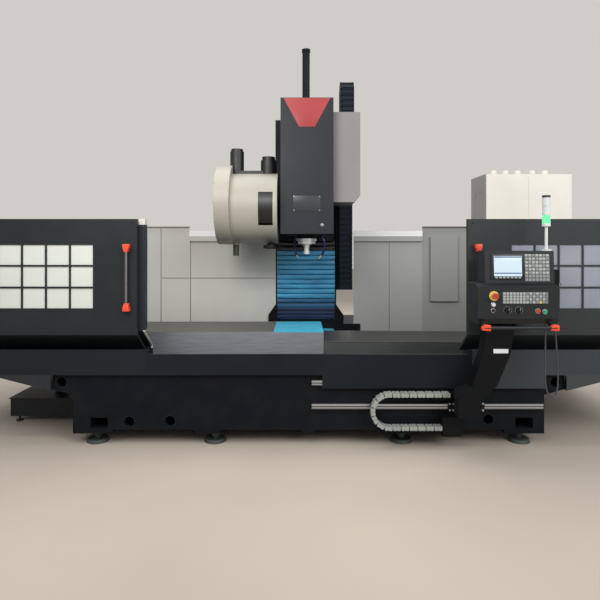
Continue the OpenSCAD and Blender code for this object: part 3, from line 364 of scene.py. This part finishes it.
class Maker:
    """Collects shapes into one mesh and turns it into a piece that rides on a body."""

    def __init__(self):
        self.bm = bmesh.new()

    def soften(self, verts, bevel, only=None):
        """A two-step bevel on the edges of a new shape."""
        if bevel <= 0:
            return
        edges = {e for v in verts for e in v.link_edges}
        if only:
            edges = {e for e in edges if only(e)}
        bmesh.ops.bevel(self.bm, geom=list(edges), offset=bevel, segments=2, profile=0.6, affect="EDGES")

    def block(self, low, high, bevel=0.002):
        """A softened block between two corners."""
        low, high = Vector(low), Vector(high)
        size = high - low
        place = Matrix.Translation((low + high) / 2)
        scale = Matrix.Diagonal((size.x, size.y, size.z, 1))
        made = bmesh.ops.create_cube(self.bm, size=1, matrix=place @ scale)
        self.soften(made["verts"], bevel)
        return self

    def rod(self, base, axis, radius, length, bevel=0.001, sides=32):
        """A round rod whose rims are softened."""
        axis = Vector(axis).normalized()
        turn = axis.to_track_quat("Z", "Y").to_matrix().to_4x4()
        place = Matrix.Translation(Vector(base) + axis * length / 2) @ turn
        made = bmesh.ops.create_cone(self.bm, cap_ends=True, segments=sides, radius1=radius, radius2=radius,
                                     depth=length, matrix=place)
        self.soften(made["verts"], bevel,
                    lambda e: abs((e.verts[0].co - e.verts[1].co).normalized().dot(axis)) < 0.3)
        return self

    def ring(self, base, axis, inner, outer, length, sides=40):
        """A sleeve with softened rims, turned from its section."""
        axis = Vector(axis).normalized()
        turn = axis.to_track_quat("Z", "Y").to_matrix()
        soft = min(0.15 * (outer - inner), 0.15 * length)
        section = [(inner, 0), (outer - soft, 0), (outer, soft), (outer, length - soft), (outer - soft, length),
                   (inner, length)]
        rows = []
        for i in range(sides):
            a = 2 * math.pi * i / sides
            rows.append([self.bm.verts.new(Vector(base) + turn @ Vector((r * math.cos(a), r * math.sin(a), h)))
                         for r, h in section])
        for i in range(sides):
            here, there = rows[i], rows[(i + 1) % sides]
            for k in range(len(section)):
                m = (k + 1) % len(section)
                self.bm.faces.new((here[k], there[k], there[m], here[m]))
        return self

    def prism(self, outline, low, high, axis="Y", bevel=0.001):
        """A closed outline in the plane across one axis, carried from low to high along it."""
        def point(pair, along):
            return (along, *pair) if axis == "X" else (pair[0], along, pair[1])
        near = [self.bm.verts.new(point(p, low)) for p in outline]
        far = [self.bm.verts.new(point(p, high)) for p in outline]
        n = len(outline)
        self.bm.faces.new(near)
        self.bm.faces.new(far[::-1])
        for i in range(n):
            self.bm.faces.new((near[(i + 1) % n], near[i], far[i], far[(i + 1) % n]))
        self.soften(near + far, bevel)
        return self

    def done(self, name, look, body, *nodes, slot=None, smooth_angle=35):
        """The finished piece, with the nodes it replaces and the body it rides on."""
        bmesh.ops.recalc_face_normals(self.bm, faces=self.bm.faces[:])
        for edge in self.bm.edges:
            edge.smooth = edge.calc_face_angle(0) < math.radians(smooth_angle)
        for face in self.bm.faces:
            face.smooth = True
        mesh = bpy.data.meshes.new(name)
        self.bm.to_mesh(mesh)
        self.bm.free()
        mesh.materials.append(look)
        piece = bpy.data.objects.new(name, mesh)
        bpy.context.collection.objects.link(piece)
        if nodes:
            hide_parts(*nodes)
        if body:
            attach(piece, body)
        return piece


def hex_screws(name, places, axis, radius, body, look=BOLT_BLACK):
    """Cap screws with washers, set on a face: each place is the middle of its washer's underside."""
    maker = Maker()
    axis = Vector(axis)
    for place in places:
        maker.rod(place, axis, radius * 1.5, radius * 0.3, radius * 0.05, 24)
        maker.rod(Vector(place) + axis * radius * 0.28, axis, radius, radius, radius * 0.12, 18)
        maker.ring(Vector(place) + axis * radius * 1.2, axis, radius * 0.5, radius * 0.85, radius * 0.14, 18)
    return maker.done(name, look, body)


def circle(radius, degrees):
    """Points of a circle round the origin of a plane, at the given angles."""
    return [(radius * math.cos(math.radians(a)), radius * math.sin(math.radians(a))) for a in degrees]


# Folding cover of the column's guideway, with the film on its foot
def folded_sheet(maker, half_width, y_back, depth, low, high, folds):
    """Broad folds across the width, each with a slack face and a deep crease, in front of a flat back."""
    profile = [(0, 0), (0.05, 0.55), (0.12, 0.86), (0.35, 0.95), (0.6, 1.0), (0.85, 0.9), (0.93, 0.6)]
    columns = [half_width * (i / 7 - 1) for i in range(15)]
    levels = [((fold + share) / folds, out) for fold in range(folds) for share, out in profile] + [(1, 0)]

    def ripple(i, k):
        return 0.9 + 0.1 * math.sin(5.3 * i + 2.1 * k) * math.cos(1.7 * i - 1.3 * k)

    rows = []
    for i, (share, out) in enumerate(levels):
        z = low + (high - low) * share
        rows.append([maker.bm.verts.new((x, y_back - 0.004 - depth * out * ripple(i, k), z))
                     for k, x in enumerate(columns)])
    for a, b in zip(rows, rows[1:]):
        for k in range(len(columns) - 1):
            maker.bm.faces.new((a[k], a[k + 1], b[k + 1], b[k]))
    back = [[maker.bm.verts.new((side * half_width, y_back, low + (high - low) * share)) for side in (-1, 1)]
            for share, _ in levels]
    for i in range(len(levels) - 1):
        maker.bm.faces.new((back[i][0], back[i][1], back[i + 1][1], back[i + 1][0]))
        maker.bm.faces.new((rows[i][0], rows[i + 1][0], back[i + 1][0], back[i][0]))
        maker.bm.faces.new((rows[i][-1], back[i][1], back[i + 1][1], rows[i + 1][-1]))
    maker.bm.faces.new([*rows[0], back[0][1], back[0][0]])
    maker.bm.faces.new([*rows[-1], back[-1][1], back[-1][0]][::-1])


cover = Maker()
folded_sheet(cover, z_cover_half, z_cover_back, z_cover_back - z_cover_front - 0.006, Z_COVER_LOW, Z_COVER_HIGH,
             Z_COVER_FOLDS)
z_cover = cover.done("z_way_cover", COVER_BLUE, "frame", "z_cover", slot="blue_cover", smooth_angle=50)
FOOT_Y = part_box("cover_foot")[0][1]
FILM_HALF, FILM_THICK = 0.326, 0.004
Maker().block((-FILM_HALF, FOOT_Y - FILM_THICK, 0.886), (FILM_HALF, FOOT_Y, 0.932), 0.0015).done(
    "foot_film_top", COVER_BLUE, "frame")
foot_film = Maker()
for z in (0.757, 0.8, 0.843):
    foot_film.block((-FILM_HALF, FOOT_Y - FILM_THICK, z), (FILM_HALF, FOOT_Y, z + 0.04), 0.0015)
foot_film.done("foot_film_low", NAVY_FILM, "frame")
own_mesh(z_cover)


# Telescopic covers beside and behind the table
ROWS_EACH = 4


def stepped_cover(name, look, box, axis, steps, drop, slot, node):
    """Sheet cover whose segments are thin inverted troughs, each a little lower than the one before it."""
    low, high = Vector(box[0]), Vector(box[1])
    maker = Maker()
    length = (high - low)[axis]
    other = 1 - axis
    for i in range(steps):
        start = low[axis] + length * i / steps
        stop = low[axis] + length * (i + 1) / steps
        index = i if drop > 0 else steps - 1 - i
        fall = abs(drop) * index
        half = (low[other] + fall, high[other] - fall)
        top = high.z - fall
        section = [(half[0], low.z), (half[0], top - 0.004), (half[0] + 0.004, top), (half[1] - 0.004, top),
                   (half[1], top - 0.004), (half[1], low.z), (half[1] - 0.003, low.z),
                   (half[1] - 0.003, top - 0.003), (half[0] + 0.003, top - 0.003), (half[0] + 0.003, low.z)]
        rings = []
        for k in range(ROWS_EACH + 1):
            along = start + (stop - start) * k / ROWS_EACH
            ring = []
            for across, z in section:
                point = [0, 0, z]
                point[axis], point[other] = along, across
                ring.append(maker.bm.verts.new(point))
            rings.append(ring)
        n = len(section)
        for a, b in zip(rings, rings[1:]):
            for k in range(n):
                maker.bm.faces.new((a[k], a[(k + 1) % n], b[(k + 1) % n], b[k]))
        maker.bm.faces.new(rings[0])
        maker.bm.faces.new(rings[-1][::-1])
    return maker.done(name, look, None, node, slot=slot)


right_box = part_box("x_cover_right")
x_right = stepped_cover("x_way_cover_right", WAY_COVER_STEEL, right_box, axis=0, steps=6, drop=0.0016,
                        slot="cover_steel", node="x_cover_right")
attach(x_right, "saddle")
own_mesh(x_right)

left_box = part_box("x_cover_left")
x_left = stepped_cover("x_way_cover_left", WAY_COVER_STEEL, left_box, axis=0, steps=6, drop=-0.0016,
                       slot="cover_steel", node="x_cover_left")
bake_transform(x_left)

back_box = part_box("y_cover")
y_back = stepped_cover("y_way_cover", FILM_BLUE_PAINTED_LIGHT, back_box, axis=1, steps=5, drop=0.002, slot="blue_cover",
                       node="y_cover")
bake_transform(y_back)


# Drag chains, link by link: the column's, and the pendant's low in front of the bed
def chain_stations(run_a, run_b, radius, pitch):
    """Middle and direction of each link of a chain that runs out, turns half round and runs back."""
    total = run_a + math.pi * radius + run_b
    count = round(total / pitch)
    for i in range(count):
        s = total * (i + 0.5) / count
        if s < run_a:
            yield (run_a - s, -radius), (-1, 0)
        elif s < run_a + math.pi * radius:
            angle = (s - run_a) / radius
            yield (-radius * math.sin(angle), -radius * math.cos(angle)), (-math.cos(angle), math.sin(angle))
        else:
            yield (s - run_a - math.pi * radius, radius), (1, 0)


def drag_chain(name, look, stations, place, width, height, pitch, node, slot):
    """Links with two waisted side plates, two crossbars and the leads' share inside; place maps plane to frame."""
    maker = Maker()
    plate = 0.09 * width
    waist = [(-0.46, -0.32), (-0.38, -0.5), (-0.14, -0.5), (-0.06, -0.42), (0.06, -0.42), (0.14, -0.5),
             (0.38, -0.5), (0.46, -0.32), (0.46, 0.32), (0.38, 0.5), (0.14, 0.5), (0.06, 0.42), (-0.06, 0.42),
             (-0.14, 0.5), (-0.38, 0.5), (-0.46, 0.32)]
    for (u, v), (du, dv) in stations:
        for side in (-1, 1):
            edge = side * width / 2
            inner = edge - side * plate
            near, far = [], []
            for a, b in waist:
                p = (u + a * pitch * du - b * height * dv, v + a * pitch * dv + b * height * du)
                near.append(maker.bm.verts.new(place(*p, edge)))
                far.append(maker.bm.verts.new(place(*p, inner)))
            n = len(near)
            maker.bm.faces.new(near)
            maker.bm.faces.new(far[::-1])
            for k in range(n):
                maker.bm.faces.new((near[(k + 1) % n], near[k], far[k], far[(k + 1) % n]))
        for lift, long, thick in ((-0.42, 0.2, 0.05), (0.42, 0.2, 0.05), (0, 0.53, 0.3)):
            bar = []
            for a, b in ((-long, -thick), (long, -thick), (long, thick), (-long, thick)):
                p = (u + a * pitch * du - (b + lift) * height * dv, v + a * pitch * dv + (b + lift) * height * du)
                bar.append([maker.bm.verts.new(place(*p, x)) for x in (-width / 2 + plate, width / 2 - plate)])
            for k in range(4):
                m = (k + 1) % 4
                maker.bm.faces.new((bar[k][0], bar[m][0], bar[m][1], bar[k][1]))
    return maker.done(name, look, None, node, slot=slot, smooth_angle=25)


z_chain_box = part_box("z_chain")
CHAIN_X = (z_chain_box[0][0] + z_chain_box[1][0]) / 2
CHAIN_Y, CHAIN_TOP, CHAIN_R, CHAIN_PITCH = 0.69, 3.317, 0.1, 0.062
z_chain = drag_chain("z_drag_chain", CHAIN_BLACK, chain_stations(2.23, 0.917, CHAIN_R, CHAIN_PITCH),
                     lambda u, v, w: (CHAIN_X + w, CHAIN_Y - v, CHAIN_TOP - u),
                     width=z_chain_box[1][0] - z_chain_box[0][0], height=0.056, pitch=CHAIN_PITCH,
                     node="z_chain", slot="black_plastic")
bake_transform(z_chain)

LOW_X, LOW_Y, LOW_Z, LOW_R, LOW_PITCH = 0.634, -1.13, 0.295, 0.13, 0.065
pendant_chain = drag_chain("pendant_drag_chain", CHAIN_GREY, chain_stations(0.413, 0.4757, LOW_R, LOW_PITCH),
                           lambda u, v, w: (LOW_X + u, LOW_Y + w, LOW_Z + v),
                           width=0.06, height=0.035, pitch=LOW_PITCH, node="pendant_chain", slot="grey_chain")
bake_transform(pendant_chain)

# Lead of the handwheel: down from the unit and back up into the control box
CORD_ROUTE = [
    (1840, -1305, 1227.7), (1841, -1305, 1150), (1846, -1307, 1050), (1852, -1310, 950), (1858, -1312, 850),
    (1864, -1314, 750), (1868, -1315, 650), (1868, -1316, 560), (1858, -1318, 500), (1832, -1320, 470),
    (1800, -1320, 478), (1780, -1318, 520), (1774, -1314, 600), (1776, -1308, 700), (1780, -1302, 800),
    (1784, -1296, 900), (1786, -1290, 970), (1786, -1288, 1021.7)]
CORD_D = 0.012


def catmull(points, parts):
    """A smooth line through points given in millimetres, in metres."""
    points = [Vector(p) / 1000 for p in points]
    line = []
    for i in range(len(points) - 1):
        a, b, c, d = points[max(i - 1, 0)], points[i], points[i + 1], points[min(i + 2, len(points) - 1)]
        for k in range(parts):
            t = k / parts
            line.append(0.5 * (2 * b + (c - a) * t + (2 * a - 5 * b + 4 * c - d) * t * t
                               + (3 * b - a - 3 * c + d) * t ** 3))
    return line + [points[-1]]


line = catmull(CORD_ROUTE, 5)
curve = bpy.data.curves.new("handwheel_lead", "CURVE")
curve.dimensions = "3D"
curve.bevel_depth = CORD_D / 2
curve.bevel_resolution = 4
curve.use_fill_caps = True
spline = curve.splines.new("POLY")
spline.points.add(len(line) - 1)
for point, where in zip(spline.points, line):
    point.co = (*where, 1)
curve.materials.append(CORD_SHEATH)
cord = bpy.data.objects.new("handwheel_lead", curve)
bpy.context.collection.objects.link(cord)
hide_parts("handwheel_cord")
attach(cord, "pendant")

# Red trim at the top of the head's cover
PLATE_THICK = 0.003
cover_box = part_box("head_cover")
FACE_Y = cover_box[0][1]
TOP_Z = cover_box[1][2]
Maker().prism([(-0.229, TOP_Z - 0.004), (0.229, TOP_Z - 0.004), (0.077, TOP_Z - 0.285), (-0.077, TOP_Z - 0.285)],
              FACE_Y - PLATE_THICK, FACE_Y, bevel=0.0012).done("head_red_trim", RED_TRIM, "head")

# Plain plate on the pendant's arm
ARM_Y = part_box("pendant_arm")[0][1]
Maker().block((1.379, ARM_Y - PLATE_THICK, 0.79), (1.49, ARM_Y, 0.822), 0.0012).done(
    "arm_blank_plate", LENS_CLEAR, "carriage")

# Plain plate on the head's cover, with screws, and the cover's lock and panel screws
Maker().block((-0.134, FACE_Y - PLATE_THICK, 1.93), (0.13, FACE_Y, 2.08), 0.0012).done(
    "head_blank_plate", PLATE_GREY, "head")
hex_screws("head_plate_screws", [(x, FACE_Y - PLATE_THICK, z) for x in (-0.126, 0.122) for z in (1.938, 2.072)],
           FRONT, 0.004, "head", GROUND_STEEL)
LOCK_X, LOCK_Z = 0.146, 1.795
lock = Maker().rod((LOCK_X, FACE_Y, LOCK_Z), FRONT, 0.016, 0.004, 0.001, 32)
lock.rod((LOCK_X, FACE_Y - 0.0035, LOCK_Z), FRONT, 0.0105, 0.004, 0.001, 24)
lock.done("head_cover_lock", GROUND_STEEL, "head")
edge_x = cover_box[1][0] - 0.02
hex_screws("head_cover_screws", [(side * edge_x, FACE_Y, 1.78 + 0.2 * i) for side in (-1, 1) for i in range(7)],
           FRONT, 0.004, "head", HEAD_PAINT)

# Spindle nose: three bright rings with screws between them
nose = Maker()
for z, inner, outer, length in ((1.6125, 0.052, 0.088, 0.004), (1.614, 0.0875, 0.0895, 0.026),
                                (1.6395, 0.0995, 0.1015, 0.026)):
    nose.ring((0, SPINDLE_Y, z), UP, inner, outer, length, 48)
nose.done("spindle_nose_ring", NOSE_STEEL, "head")
hex_screws("spindle_nose_screws", [(x, SPINDLE_Y + y, 1.64) for x, y in circle(0.0945, range(0, 360, 45))],
           DOWN, 0.0032, "head")

# Pendant: screen, soft keys and key caps. Its panel is tilted above STEP_Z and upright below it
BOX_X0, FRONT_Y, STEP_Z = 1.23, -1.424, 1.304
TILT = 0.014 / 0.24


def tilted_y(z, proud):
    """The y of the pendant's tilted face at a height, brought forward by proud."""
    return FRONT_Y + 0.06 + (z - STEP_Z - 0.012) * TILT - proud


def tilted_block(maker, x0, x1, z0, z1, back, front, bevel=0.001):
    """A softened block that lies on the pendant's tilted face."""
    outline = [(tilted_y(z0, back), z0), (tilted_y(z1, back), z1), (tilted_y(z1, front), z1),
               (tilted_y(z0, front), z0)]
    maker.prism(outline, x0, x1, axis="X", bevel=bevel)


SCREEN_X0, SCREEN_X1, SCREEN_Z0, SCREEN_Z1 = BOX_X0 + 0.126, BOX_X0 + 0.358, 1.351, 1.531
RIM, FOOT = 0.012, 0.018
glass = (SCREEN_X0 + RIM, SCREEN_X1 - RIM, SCREEN_Z0 + FOOT, SCREEN_Z1 - RIM)
screen = Maker()
tilted_block(screen, *glass, 0.0095, 0.0115)
screen.done("screen_glass", SCREEN, "pendant")
bands = Maker()
for band_low, band_high in ((glass[3] - 0.013, glass[3] - 0.004), (glass[2] + 0.018, glass[2] + 0.026)):
    tilted_block(bands, glass[0] + 0.004, glass[1] - 0.004, band_low, band_high, 0.0113, 0.012, 0)
bands.done("screen_bands", SCREEN_BAND, "pendant")
bezel = Maker()
for x0, x1, z0, z1 in ((SCREEN_X0, glass[0], SCREEN_Z0, SCREEN_Z1), (glass[1], SCREEN_X1, SCREEN_Z0, SCREEN_Z1),
                       (glass[0], glass[1], glass[3], SCREEN_Z1), (glass[0], glass[1], SCREEN_Z0, glass[2])):
    tilted_block(bezel, x0, x1, z0, z1, 0.0095, 0.016, 0.0015)
bezel.done("screen_bezel", KNOB_BLACK, "pendant")

# Caps of the upper keypad, of the lower one up to its panel's end, and of the soft keys under the screen
caps = {CAP_WHITE: Maker(), KEY_GREY: Maker(), YELLOW: Maker()}
UPPER_PITCH, LOWER_PITCH_X, LOWER_PITCH_Z = 0.026, 0.024, 0.021
PANEL_END_X = BOX_X0 + 0.512
for col in range(7):
    for row in range(8):
        x = BOX_X0 + 0.3715 + col * UPPER_PITCH
        z = 1.333 + row * UPPER_PITCH
        look = KEY_GREY if (col + row) % 3 == 0 or row < 2 else CAP_WHITE
        tilted_block(caps[look], x, x + 0.0195, z, z + 0.0165, 0.0055, 0.0085, 0.0012)
for col in range(14):
    for row in range(4):
        x = BOX_X0 + 0.1835 + col * LOWER_PITCH_X
        z = 1.1745 + row * LOWER_PITCH_Z
        look = YELLOW if (col, row) == (11, 0) else (CAP_WHITE if col < 7 or (col + row) % 2 else KEY_GREY)
        if x + 0.019 < PANEL_END_X:
            caps[look].block((x, FRONT_Y - 0.0075, z), (x + 0.018, FRONT_Y - 0.0045, z + 0.015), 0.0012)
for i in range(7):
    x = BOX_X0 + 0.144 + i * 0.0285
    tilted_block(caps[CAP_WHITE], x, x + 0.02, 1.3545, 1.3635, 0.0155, 0.0185, 0.001)
for number, (look, maker) in enumerate(caps.items()):
    maker.done(f"key_caps_{number + 1}", look, "pendant")

# Collars of the buttons, and the scales and pointers of the two knobs
Maker().ring((1.347, FRONT_Y - 0.0075, 1.228), BACK, 0.0145, 0.035, 0.0075).done(
    "emergency_collar", YELLOW, "pendant")
collars = Maker()
for x, z, r in ((1.719, 1.113, 0.0145), (1.668, 1.118, 0.0145), (1.343, 1.165, 0.0125), (1.341, 1.122, 0.0125)):
    collars.ring((x, FRONT_Y - 0.005, z), BACK, r, r + 0.005, 0.005)
collars.done("button_collars", TURNED_STEEL, "pendant")
scales = Maker()
SCALE_R = 0.0285
for x in KNOBS.values():
    for k in range(11):
        a = math.radians(-135 + 27 * k)
        cx, cz = x + SCALE_R * math.sin(a), KNOB_Z + SCALE_R * math.cos(a)
        scales.rod((cx, FRONT_Y, cz), FRONT, 0.0016, 0.0008, 0, 10)
scales.done("knob_scale_dots", WHITE, "pendant")
for body, x in KNOBS.items():
    Maker().block((x - 0.001, FRONT_Y - 0.0247, KNOB_Z + 0.004), (x + 0.001, FRONT_Y - 0.0239, KNOB_Z + 0.017),
                  0.0003).done(f"{body}_pointer", WHITE, body)

# Signal lamp: clear sleeves, the lowest lit green
TOWER = (1.793, -1.29)
LAMP_Z, LAMP_PITCH = 1.7625, 0.066
for i, look in enumerate((GREEN_LIT, LENS_CLEAR, LENS_CLEAR)):
    Maker().ring((*TOWER, LAMP_Z + LAMP_PITCH * i), UP, 0.0278, 0.0295, 0.062, 40).done(
        f"lamp_sleeve_{i + 1}", look, "pendant")

# End blocks of the door handles, and the doors' panel screws
DOOR_Y = -1.06
for body in ("left_door", "right_door"):
    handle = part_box(f"{body.split('_')[0]}_handle")
    x = (handle[0][0] + handle[1][0]) / 2
    ends = Maker()
    for z, inward in ((handle[0][2] - 0.003, 1), (handle[1][2] + 0.003, -1)):
        outline = [(x - 0.028, z), (x + 0.028, z),
                   (x + 0.024, z + inward * 0.028), (x + 0.014, z + inward * 0.064),
                   (x - 0.014, z + inward * 0.064), (x - 0.024, z + inward * 0.028)]
        ends.prism(outline, DOOR_Y - 0.049, DOOR_Y - 0.0005, bevel=0.006)
    ends.done(f"{body}_handle_ends", ORANGE_RED, body)
    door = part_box(body)
    columns = (door[0][0] + 0.04, x * 0.5 + door[0][0] * 0.5, door[1][0] - 0.04)
    hex_screws(f"{body}_screws", [(across, DOOR_Y, z) for z in (0.915, 1.775) for across in columns], FRONT, 0.004,
               body, CHARCOAL)

# Red brackets of the pendant's front bar
for number, x in enumerate((1.267, 1.757)):
    outline = [(x - 0.032, 0.988), (x + 0.03, 0.984), (x + 0.03, 1.026), (x - 0.008, 1.03), (x - 0.032, 1.012)]
    Maker().prism(outline, -1.5095, -1.474, bevel=0.006).done(f"bar_end_{number + 1}", ORANGE_RED, "pendant")

# Bed: rims in the lifting bores, and cap screws along the rails and on the carriage
RAIL_FACE_Y, CARRIAGE_FACE_Y = -1.0705, -1.084
bore_rims = Maker()
for x, z in ((-1.982, 0.5), (-1.438, 0.183), (-1.111, 0.189), (1.442, 0.2), (1.982, 0.5)):
    bore_rims.ring((x, -1.051, z), BACK, 0.041, 0.0478, 0.03, 40)
bore_rims.done("lifting_bore_rims", CHARCOAL_DARK, "frame")
rail_screws = [(0.12 + 0.2 * i, RAIL_FACE_Y, z) for i in range(9) for z in RAIL_LEVELS]
hex_screws("pendant_rail_screws", [p for p in rail_screws if not 1.1 < p[0] < 1.42], FRONT, 0.002, "frame")
carriage_screws = [(x + dx, CARRIAGE_FACE_Y, RAIL_LEVELS[0] + dz)
                   for x in (1.123, 1.357) for dx in (0, 0.03) for dz in (-0.026, 0.026)]
hex_screws("carriage_screws", carriage_screws, FRONT, 0.006, "carriage", GROUND_STEEL)

# Magazine: a black sheet just inside the drum's window, painted shade for the dark inside it, and the rim's screws
MAGAZINE_X, MAGAZINE_Z, MAGAZINE_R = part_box("magazine_cover")[0][0], 1.972, 0.352
RIM_SCREW_R, RIM_Z = 0.37, 2.006
shade_sheet_angles = range(152, 209, 4)
shade_sheet_outline = circle(MAGAZINE_R - 0.006, shade_sheet_angles) + circle(MAGAZINE_R - 0.009, reversed(shade_sheet_angles))
Maker().prism([(SPINDLE_Y + y, MAGAZINE_Z + z) for y, z in shade_sheet_outline], -0.49, -0.31, axis="X", bevel=0).done(
    "magazine_window_shade_sheet", KNOB_BLACK, "frame")
rim_screws = [(MAGAZINE_X, SPINDLE_Y + y, RIM_Z + z) for y, z in circle(RIM_SCREW_R, range(0, 360, 30))]
hex_screws("magazine_rim_screws", rim_screws, LEFT, 0.006, "frame")

# Cabinet: latches of its doors
CABINET_Y = 0.7455
latches = Maker()
for x in (2.5, 2.61):
    for z in (0.9, 1.7):
        latches.block((x - 0.014, CABINET_Y - 0.002, z), (x + 0.014, CABINET_Y, z + 0.1), 0.0008)
latches.done("cabinet_latches", KNOB_BLACK, "frame")

# Joint strips on the inner side of the back wall
WALL_Y = 0.736
seams = Maker()
for x0, x1, z0, z1 in ((-1.664, -1.654, 0.6, 1.79), (-1.654, -1.334, 1.217, 1.227), (-1.326, -0.35, 1.217, 1.227),
                       (-1.326, -1.316, 0.6, 1.64), (0.95, 0.96, 0.6, 1.64), (1.9, 1.91, 0.6, 1.79)):
    seams.block((x0, WALL_Y - 0.0015, z0), (x1, WALL_Y + 0.0005, z1), 0.0004)
seams.done("wall_joint_strips", SEAM_GREY, "frame")

# Floor, world and lamps
bpy.ops.mesh.primitive_plane_add(size=60, location=(0, 0, 0))
floor = bpy.context.object
floor.name = "floor"
floor.data.materials.append(Surface("concrete floor", (178, 165, 151), rough=0.7, vary=0.05, patch=0.4).material)

world = bpy.data.worlds.new("world")
bpy.context.scene.world = world
world.use_nodes = True
tree = world.node_tree
tree.nodes.clear()
rays = tree.nodes.new("ShaderNodeLightPath")


def larger(first, second):
    """The larger of two values of the world's node tree."""
    node = tree.nodes.new("ShaderNodeMath")
    node.operation = "MAXIMUM"
    tree.links.new(first, node.inputs[0])
    tree.links.new(second, node.inputs[1])
    return node.outputs["Value"]


def background(colour, strength):
    """A background shader of the world's node tree."""
    node = tree.nodes.new("ShaderNodeBackground")
    node.inputs["Color"].default_value = (*colour, 1)
    node.inputs["Strength"].default_value = strength
    return node.outputs["Background"]


shows_backdrop = larger(larger(rays.outputs["Is Camera Ray"], rays.outputs["Is Glossy Ray"]),
                        rays.outputs["Is Transmission Ray"])
blend_node = tree.nodes.new("ShaderNodeMixShader")
tree.links.new(shows_backdrop, blend_node.inputs["Fac"])
tree.links.new(background((0.9, 0.95, 1.0), 0.55), blend_node.inputs[1])
tree.links.new(background((0.63, 0.61, 0.575), 1.0), blend_node.inputs[2])
output = tree.nodes.new("ShaderNodeOutputWorld")
tree.links.new(blend_node.outputs["Shader"], output.inputs["Surface"])


def lamp(name, place, target, size, power, colour=(1, 1, 1)):
    """An area lamp turned to its target."""
    data = bpy.data.lights.new(name, "AREA")
    data.shape = "RECTANGLE"
    data.size = size[0]
    data.size_y = size[1]
    data.energy = power
    data.color = colour
    obj = bpy.data.objects.new(name, data)
    obj.location = place
    obj.rotation_euler = (Vector(target) - Vector(place)).to_track_quat("-Z", "Y").to_euler()
    bpy.context.collection.objects.link(obj)


lamp("key", (-3.5, -6.5, 6.0), (0, 0, 1.2), (5, 3), 225)
lamp("fill", (5.0, -6.0, 4.5), (0.5, 0, 1.2), (5, 3), 300, (0.95, 0.98, 1.0))
lamp("bay", (-1.1, -2.2, 2.9), (-1.0, 0.74, 1.1), (1.5, 0.5), 26)
lamp("top", (0, 0.5, 7.5), (0, 0, 0), (8, 5), 310)
lamp("back", (3.5, 6.5, 5.0), (0, 0, 1.5), (5, 3), 220)
